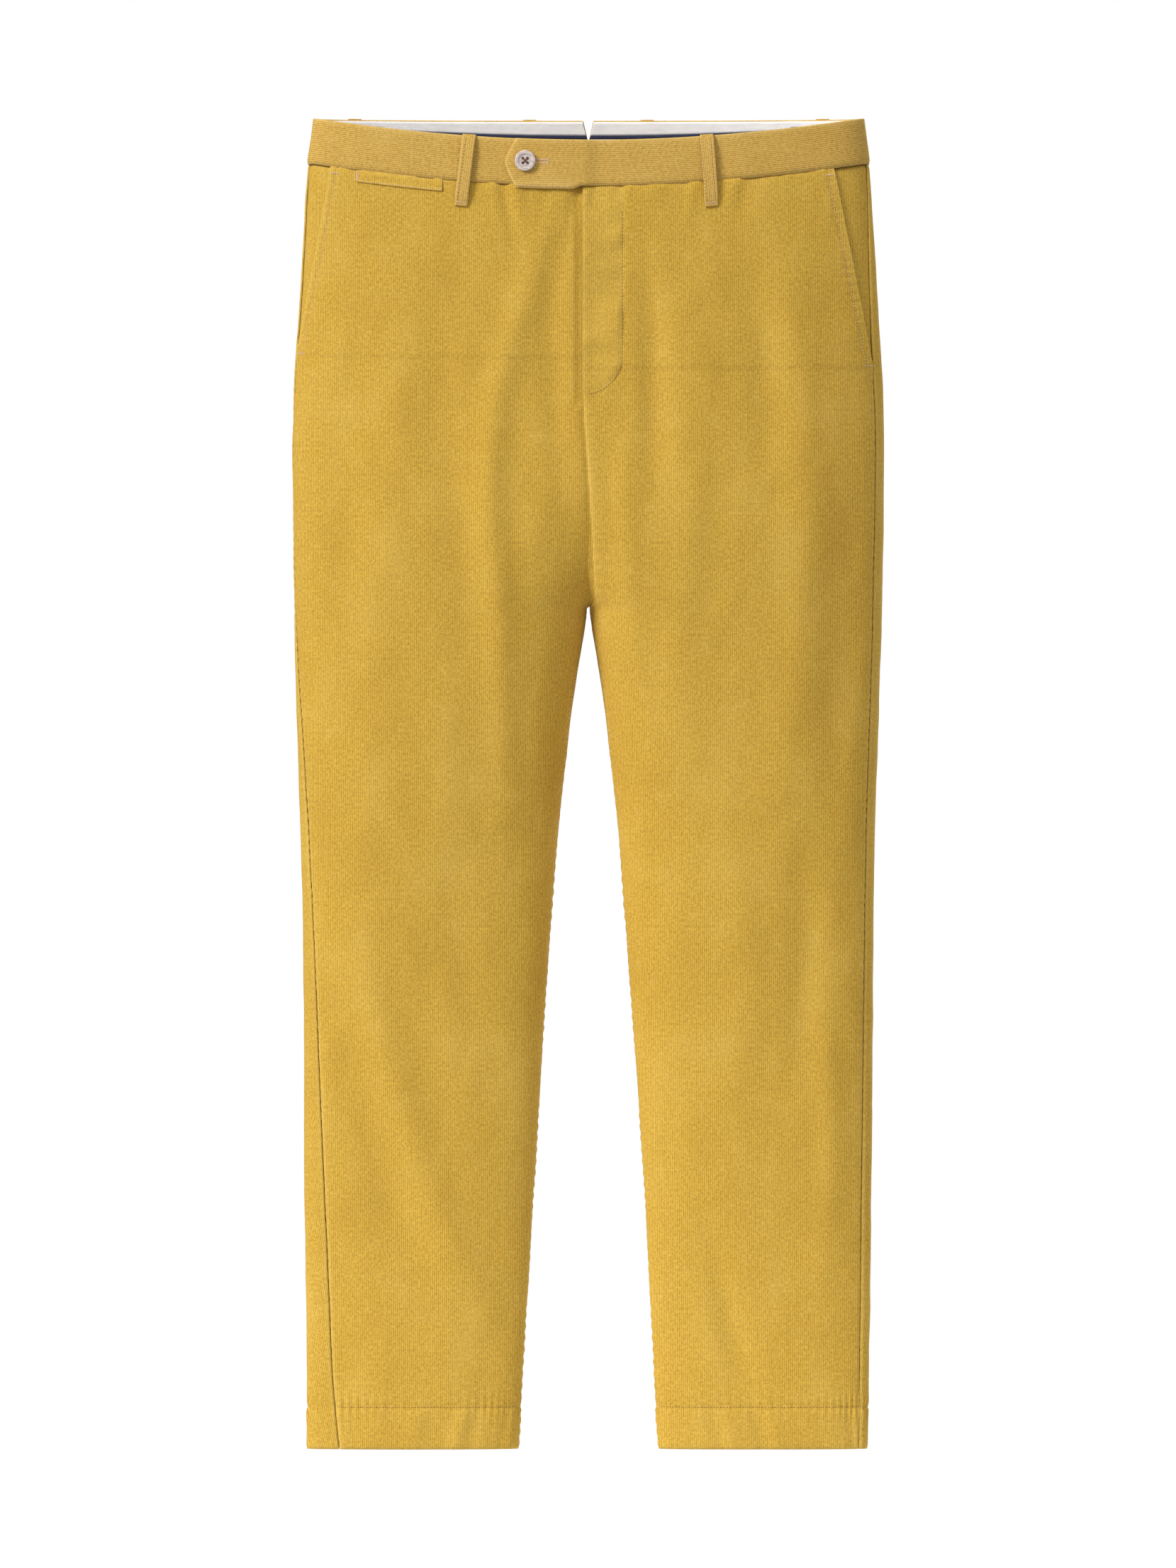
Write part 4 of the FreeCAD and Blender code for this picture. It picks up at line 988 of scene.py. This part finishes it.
def back_pockets():
    for side in (LEFT, RIGHT):
        name = NAMES[side]
        for part, top in (("upper", BACK_WELT_LEVEL + JET + 0.2 * MM),
                          ("lower", BACK_WELT_LEVEL - 0.2 * MM)):
            lip = patch("back_pocket_lip_%s_%s" % (part, name), False, side,
                        rows_of(top, top - JET, 0.6 * MM), BACK_WELT[0], BACK_WELT[1],
                        1.25 * MM, 0.9 * MM, 110, roll(top, top - JET))
        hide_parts("back_pocket_welt_" + name)
        slope = 0.6
        bag("back_pocket_bag_" + name, False, side, -78 * MM, -252 * MM,
            lambda lv: BACK_WELT[0] - 4 * MM + np.maximum(0, -215 * MM - lv) * slope,
            lambda lv: BACK_WELT[1] - 2 * MM - np.maximum(0, -215 * MM - lv) * slope,
            -3.6 * MM, -7.0 * MM)


def fly():
    """The facing behind the fly's edge, and the shield behind the zip."""
    def facing_edge(lv):
        return np.minimum(stitch_j(np.maximum(lv, FLY_END + 1 * MM)) - 0.5 * MM, 30 * MM)

    patch("fly_facing", True, LEFT, rows_of(-60 * MM, -221 * MM, 2.5 * MM),
          FLY_EDGE + 1.5 * MM, facing_edge, -CLOTH - 0.2 * MM, 0.85 * MM, 24,
          lambda *_: -0.5 * MM)
    patch("fly_shield", True, LEFT, rows_of(-2.5 * MM, -224 * MM, 2.5 * MM),
          -22 * MM, lambda lv: 36 * MM - 8 * MM * (lv / FLY_END) ** 3, -12 * MM, 1.2 * MM, 30)


def j_path():
    """The fly's stitching: down beside the zip, and round to the centre seam."""
    levels = np.concatenate([rows_of(-57 * MM, FLY_END + FLY_WIDTH, 4 * MM),
                             rows_of(FLY_END + FLY_WIDTH, FLY_END + 0.4 * MM, 1 * MM)])
    return np.stack([stitch_j(levels), levels], -1)


def raised(path):
    """A path of (x, level) on the front, as (x, height)."""
    x, level = np.array(path, float).T
    return np.stack([x, level + dip(x, level)], -1)


def sewing(panels, bands, linings, welt, loops):
    """Every visible line of stitching, and the bar tacks."""
    tan, self_colour, tacks, low = [], [], [], {LEFT: [], RIGHT: []}
    self_colour += running(panels["front", LEFT], raised(j_path()))
    for side in (LEFT, RIGHT):
        levels = rows_of(BAND_SEAM - 4 * MM, POCKET_END[side] + 1 * MM, 4 * MM)
        edge = np.stack([side * (slash(side, levels) - POCKET_STITCH), levels], -1)
        tan += running(panels["front", side], raised(edge))
        top, end = POCKET_TOP_X[side] - 3.5 * MM, side_seam(side, POCKET_END[side]) - 4 * MM
        for x, level in ((top, BAND_SEAM - 5 * MM), (end, POCKET_END[side] + 1 * MM)):
            tacks += bar_tack(panels["front", side],
                              raised([(side * x - 3 * MM, level), (side * x + 3 * MM, level)]), 1.5 * MM)
        for x in BACK_WELT:
            ends = [(side * x, BACK_WELT_LEVEL - JET), (side * x, BACK_WELT_LEVEL + JET)]
            tacks += bar_tack(panels["back", side], ends, 1.6 * MM, False)
        hem = HEM + HEM_HEIGHT
        for front in (True, False):
            inner, outer = smooth(INNER, hem) + 3 * MM, smooth(OUTER, hem) - 3 * MM
            where = "front" if front else "back"
            reach = side_seam(side, hem) if front else outer
            line = [(side * inner, hem), (side * (reach - 2 * MM), hem)]
            low[side] += running(panels[where, side], line, front)
    foot = BAND_SEAM - COIN_WELT + 1.1 * MM
    tan += running(welt, raised([(-x, foot) for x in np.linspace(COIN[0], COIN[1], 12)]))
    for x in COIN:
        ends = [(-x, BAND_SEAM - 1 * MM), (-x, BAND_SEAM - COIN_WELT + 0.6 * MM)]
        tacks += bar_tack(welt, raised(ends), 2.0 * MM)
    under = [(x, TAB_DROP + 2.0 * MM) for x in np.linspace(-57 * MM, -14 * MM, 9)]
    tan += running(bands[LEFT], raised(under))
    for name, (piece, x, front, side, lean) in loops.items():
        for out in (-1, 1):
            levels = rows_of(-1 * MM, -54 * MM, 5 * MM)
            line = np.stack([side * (x + lean * levels / LOOP_END + out * 3.7 * MM), levels], -1)
            self_colour += running(piece, raised(line) if front else line, front)
        ends = [(side * (x + lean) - 4 * MM, -54 * MM), (side * (x + lean) + 4 * MM, -54 * MM)]
        tacks += bar_tack(piece, raised(ends) if front else ends, 1.0 * MM, front)
    for x in (-189.5, -43.6, 53, 198):
        side = LEFT if x > 0 else RIGHT
        ends = [(x * MM - 2.4 * MM, -3 * MM), (x * MM + 2.4 * MM, -3 * MM)]
        tacks += bar_tack(linings[side], ends, 1.2 * MM, True, 0.0)
    sew("pocket_and_tab_stitching", tan, THREAD * 1.15, TAN)
    sew("fly_and_loop_stitching", self_colour, THREAD, SEWING)
    sew("bar_tacks", tacks, TACK_THREAD, TAN,
        nodes=("bar_tacks_front", "bar_tacks_back"))
    for side in (LEFT, RIGHT):
        sew("hem_stitching_" + NAMES[side], low[side], THREAD, SEWING,
            "lower_leg_" + NAMES[side])
    buttonhole(bands[LEFT])


BUTTON_LEVEL = -17.5 * MM


def buttonhole(band):
    """The worked buttonhole, which runs from under the button to its bar."""
    level, first, last = BUTTON_LEVEL, -52 * MM, -33 * MM
    stitches = []
    for lift in (-1.15 * MM, 1.15 * MM):
        line = path_points(raised([(first, level), (last, level)]), 0.36 * MM)
        line[:, 1] += lift
        stitches += across_line(places_on(band, line), 1.5 * MM, 0.1 * MM, True)
    end = raised([(last + 0.8 * MM, level)])[0]
    bar = path_points([(end[0], end[1] - 2.9 * MM), (end[0], end[1] + 2.9 * MM)], 0.34 * MM)
    stitches += across_line(places_on(band, bar), 1.5 * MM, 0.1 * MM)
    sew("waist_buttonhole_stitching", stitches, TACK_THREAD, TAN,
        nodes=("waist_buttonhole",))


def side_pockets():
    for side in (LEFT, RIGHT):
        name = NAMES[side]
        patch("side_pocket_facing_" + name, True, side,
              rows_of(BAND_SEAM - 0.2 * MM, POCKET_END[side] + 1 * MM, 3 * MM),
              lambda lv: slash(side, lv) - 26 * MM, lambda lv: side_seam(side, lv) + 0.1 * MM,
              -CLOTH - 0.35 * MM, 1.0 * MM, extra=flat_lift)
        low = [(-62, 118), (-200, 112), (-270, 118), (-318, 150)]
        high = [(-62, 176), (-110, 190), (-200, 206), (-270, 200), (-318, 176)]
        bag("side_pocket_bag_" + name, True, side, -62 * MM, -318 * MM,
            lambda lv: smooth(low, lv), lambda lv: smooth(high, lv), -3.7 * MM, -7.2 * MM)


def bag(name, front, side, top, bottom, low, high, near, far):
    """A pocket bag: one loop of cotton per level, closed at the foot and open at the top."""
    levels = rows_of(top, bottom, 4 * MM)[:, None]
    angle = np.linspace(0, 2 * PI, 96, endpoint=False)[None, :]
    a, b = low(levels), high(levels)
    x = (a + b) / 2 - (b - a) / 2 * np.cos(angle)
    depth = (near + far) / 2 + (near - far) / 2 * rounded(np.sin(angle), 0.3)
    turn = turn_at(x, levels, front)
    level = levels + 0 * turn
    bare, out = surface(side, turn, level)
    ease = 0.4 * MM * noise(bare[..., 0] / 0.03, level / 0.03, depth / 0.01, 95)
    lift = relief(bare, np.abs(turn)) + depth + ease
    points = bare + out * lift[..., None]
    length = run(points, 1)
    grain = np.stack([length, level], -1)
    rows, columns = points.shape[:2]
    faces = outward(grid_faces(rows, columns, around=True), (side == LEFT) != front)
    foot = list(range((rows - 1) * columns, rows * columns))
    piece = add_mesh(name, points, faces.tolist() + [foot], "trousers")
    set_grain(piece, np.concatenate([grain.reshape(-1, 2)[faces.ravel()], grain[-1]]))
    set_wear_and_shade(piece, np.zeros((rows, columns)))
    solid = piece.modifiers.new("thickness", "SOLIDIFY")
    solid.thickness, solid.offset = 0.45 * MM, 0
    dress(piece, POCKETING)
    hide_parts(name)
    sheet(piece, bare, "hung", ("front_panel_" if front else "back_panel_") + NAMES[side])


# ---- sewing

def places_on(piece, places, front=True, start=1.0):
    """Points of a piece's outer face at (x, z) places, and the directions out of it, seen from
    the front or back."""
    points = np.array([v.co for v in piece.data.vertices])
    tree = BVHTree.FromPolygons(points.tolist(), [p.vertices[:] for p in piece.data.polygons])
    look = 1.0 if front else -1.0
    found = []
    for x, z in places:
        place, out, _, _ = tree.ray_cast(Vector((x, -look * start, z)), Vector((0, look, 0)))
        if place is None:
            continue
        out = -out if out.y * look > 0 else out
        found.append((np.array(place), np.array(out)))
    return found


def path_points(corners, spacing=1.0 * MM):
    """Points along a path of (x, z) corners, a spacing apart."""
    corners = np.array(corners, float)
    run_to = np.concatenate([[0], np.cumsum(np.linalg.norm(np.diff(corners, axis=0), axis=1))])
    at = np.linspace(0, run_to[-1], max(2, int(run_to[-1] / spacing) + 1))
    return np.stack([np.interp(at, run_to, corners[:, k]) for k in (0, 1)], -1)


def along_line(found, pitch, length):
    """Stitches, each (start, end, direction out), along a found line."""
    line, outs = np.array([f[0] for f in found]), np.array([f[1] for f in found])
    run_to = np.concatenate([[0], np.cumsum(np.linalg.norm(np.diff(line, axis=0), axis=1))])
    made = []
    for middle in np.arange(pitch / 2, run_to[-1] - length / 2, pitch):
        a, b, out = (np.array([np.interp(at, run_to, row[:, k]) for k in range(3)])
                     for at, row in ((middle - length / 2, line), (middle + length / 2, line),
                                     (middle, outs)))
        made.append((a, b, out))
    return made


def across_line(found, width, spread, upright=False):
    """Close, parallel stitches across a found line, as in a bar tack."""
    made = []
    way = np.array((0, 0, 1.0)) if upright else np.array((1.0, 0, 0))
    for index, (place, out) in enumerate(found):
        side = way - out * (way @ out)
        side /= np.linalg.norm(side)
        ragged = spread * math.sin(index * 2.4)
        made.append((place - side * (width / 2 + ragged), place + side * (width / 2 + ragged), out))
    return made


def sew(name, stitches, radius, material, body="trousers", nodes=()):
    """One piece of all these stitches: each an arched length of thread that sinks in at its ends."""
    points, faces = [], []
    profile = [(0.0, 0.2, 0.55), (0.12, 0.8, 0.2), (0.32, 1.0, 0.0), (0.68, 1.0, 0.0),
               (0.88, 0.8, 0.2), (1.0, 0.2, 0.55)]
    sides = 6
    for a, b, out in stitches:
        along = (b - a) / max(np.linalg.norm(b - a), 1e-9)
        out = out - along * (out @ along)
        out = out / np.linalg.norm(out)
        across = np.cross(along, out)
        base = len(points)
        for share, swell, sink in profile:
            for k in range(sides):
                angle = 2 * PI * k / sides
                ring = (across * math.cos(angle) + out * math.sin(angle)) * radius * swell
                points.append(a + (b - a) * share + ring + out * radius * (0.45 - 2 * sink))
        for ring in range(len(profile) - 1):
            for k in range(sides):
                p, q = base + ring * sides + k, base + ring * sides + (k + 1) % sides
                faces.append([p, q, q + sides, p + sides])
        faces.append([base + k for k in range(sides - 1, -1, -1)])
        faces.append([base + (len(profile) - 1) * sides + k for k in range(sides)])
    piece = add_mesh(name, np.array(points), faces, body)
    dress(piece, material)
    if nodes:
        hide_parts(*nodes)


STITCH_PITCH, STITCH_LENGTH = 2.6 * MM, 2.0 * MM
THREAD, TACK_THREAD = 0.23 * MM, 0.20 * MM


def running(piece, corners, front=True):
    return along_line(places_on(piece, path_points(corners), front), STITCH_PITCH, STITCH_LENGTH)


def bar_tack(piece, corners, width, front=True, start=1.0):
    upright = abs(corners[1][0] - corners[0][0]) > abs(corners[1][1] - corners[0][1])
    found = places_on(piece, path_points(corners, 0.34 * MM), front, start)
    return across_line(found, width, 0.12 * MM, upright)


# ---- CAD nodes that stay as they are get their materials here

def dress_frame():
    looks = {"waist_button": (BUTTON, "button_horn"), "waist_button_thread": (BROWN, "brown_thread"),
             "zip_slider": (BRASS, "zip_brass"), "zip_pull": (BRASS, "zip_brass"),
             "zip_bottom_stop": (BRASS, "zip_brass")}
    for side in ("left", "right"):
        looks["back_pocket_button_" + side] = (BUTTON, "button_horn")
        looks["back_pocket_thread_" + side] = (BROWN, "brown_thread")
        looks["zip_tape_" + side] = (ZIP_TAPE, "zip_tape")
        looks["zip_teeth_" + side] = (BRASS, "zip_brass")
    for name, (material, slot) in looks.items():
        dress(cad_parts[name], material)


panels, bands, linings = {}, {}, {}
for side in (LEFT, RIGHT):
    panels["front", side], panels["back", side] = front_panel(side), back_panel(side)
    hem_turnup(side)
    bands[side] = waistband(side)
    linings[side] = lining(side)
loops = belt_loops()
side_pockets()
back_pockets()
fly()
sewing(panels, bands, linings, coin_pocket(), loops)
for (_, side), piece in panels.items():
    fold_at_knee(piece)
dress_frame()


# ---- floor, light and camera

def studio():
    world = bpy.data.worlds.new("studio")
    bpy.context.scene.world = world
    world.use_nodes = True
    tree = world.node_tree
    fill, plain = tree.nodes["Background"], tree.nodes.new("ShaderNodeBackground")
    fill.inputs["Color"].default_value = (0.96, 0.98, 1, 1)
    fill.inputs["Strength"].default_value = 0.46
    plain.inputs["Color"].default_value = (1, 1, 1, 1)
    pick, rays = tree.nodes.new("ShaderNodeMixShader"), tree.nodes.new("ShaderNodeLightPath")
    tree.links.new(rays.outputs["Is Camera Ray"], pick.inputs[0])
    tree.links.new(fill.outputs[0], pick.inputs[1])
    tree.links.new(plain.outputs[0], pick.inputs[2])
    tree.links.new(pick.outputs[0], tree.nodes["World Output"].inputs["Surface"])
    for name, energy, angle, turn in (("key", 3.3, 22, (math.radians(60), 0, math.radians(-54))),
                                      ("top", 0.9, 50, (math.radians(28), 0, math.radians(35))),
                                      ("back", 0.9, 60, (math.radians(60), 0, math.radians(150)))):
        light = bpy.data.lights.new(name, "SUN")
        light.energy, light.angle = energy, math.radians(angle)
        lamp = bpy.data.objects.new(name, light)
        lamp.rotation_euler = turn
        bpy.context.scene.collection.objects.link(lamp)
    bpy.context.scene.view_settings.view_transform = "Standard"
    bpy.ops.mesh.primitive_circle_add(vertices=96, radius=1.2, fill_type="NGON",
                                      location=(0, 0, HEM - 0.25))
    floor = bpy.context.object
    floor.name = "floor"
    n = Nodes("floor_paper", 0.9)
    place = n.add("ShaderNodeTexCoord").outputs["Object"]
    n.colour(n.mix(n.noise(place, 40, 3), linear(236, 236, 234), linear(244, 244, 243)))
    floor.data.materials.append(n.material)


def camera():
    """Level, straight in front, from far enough away that the sizes read true."""
    lens, sensor, tall = 300, 36, 1.2608
    data = bpy.data.cameras.new("camera")
    data.lens, data.sensor_width, data.clip_end = lens, sensor, 100
    eye = bpy.data.objects.new("camera", data)
    eye.location = (-0.0003, -tall * lens / sensor, -0.5347)
    eye.rotation_euler = (PI / 2, 0, 0)
    bpy.context.scene.collection.objects.link(eye)
    bpy.context.scene.camera = eye


studio()
camera()
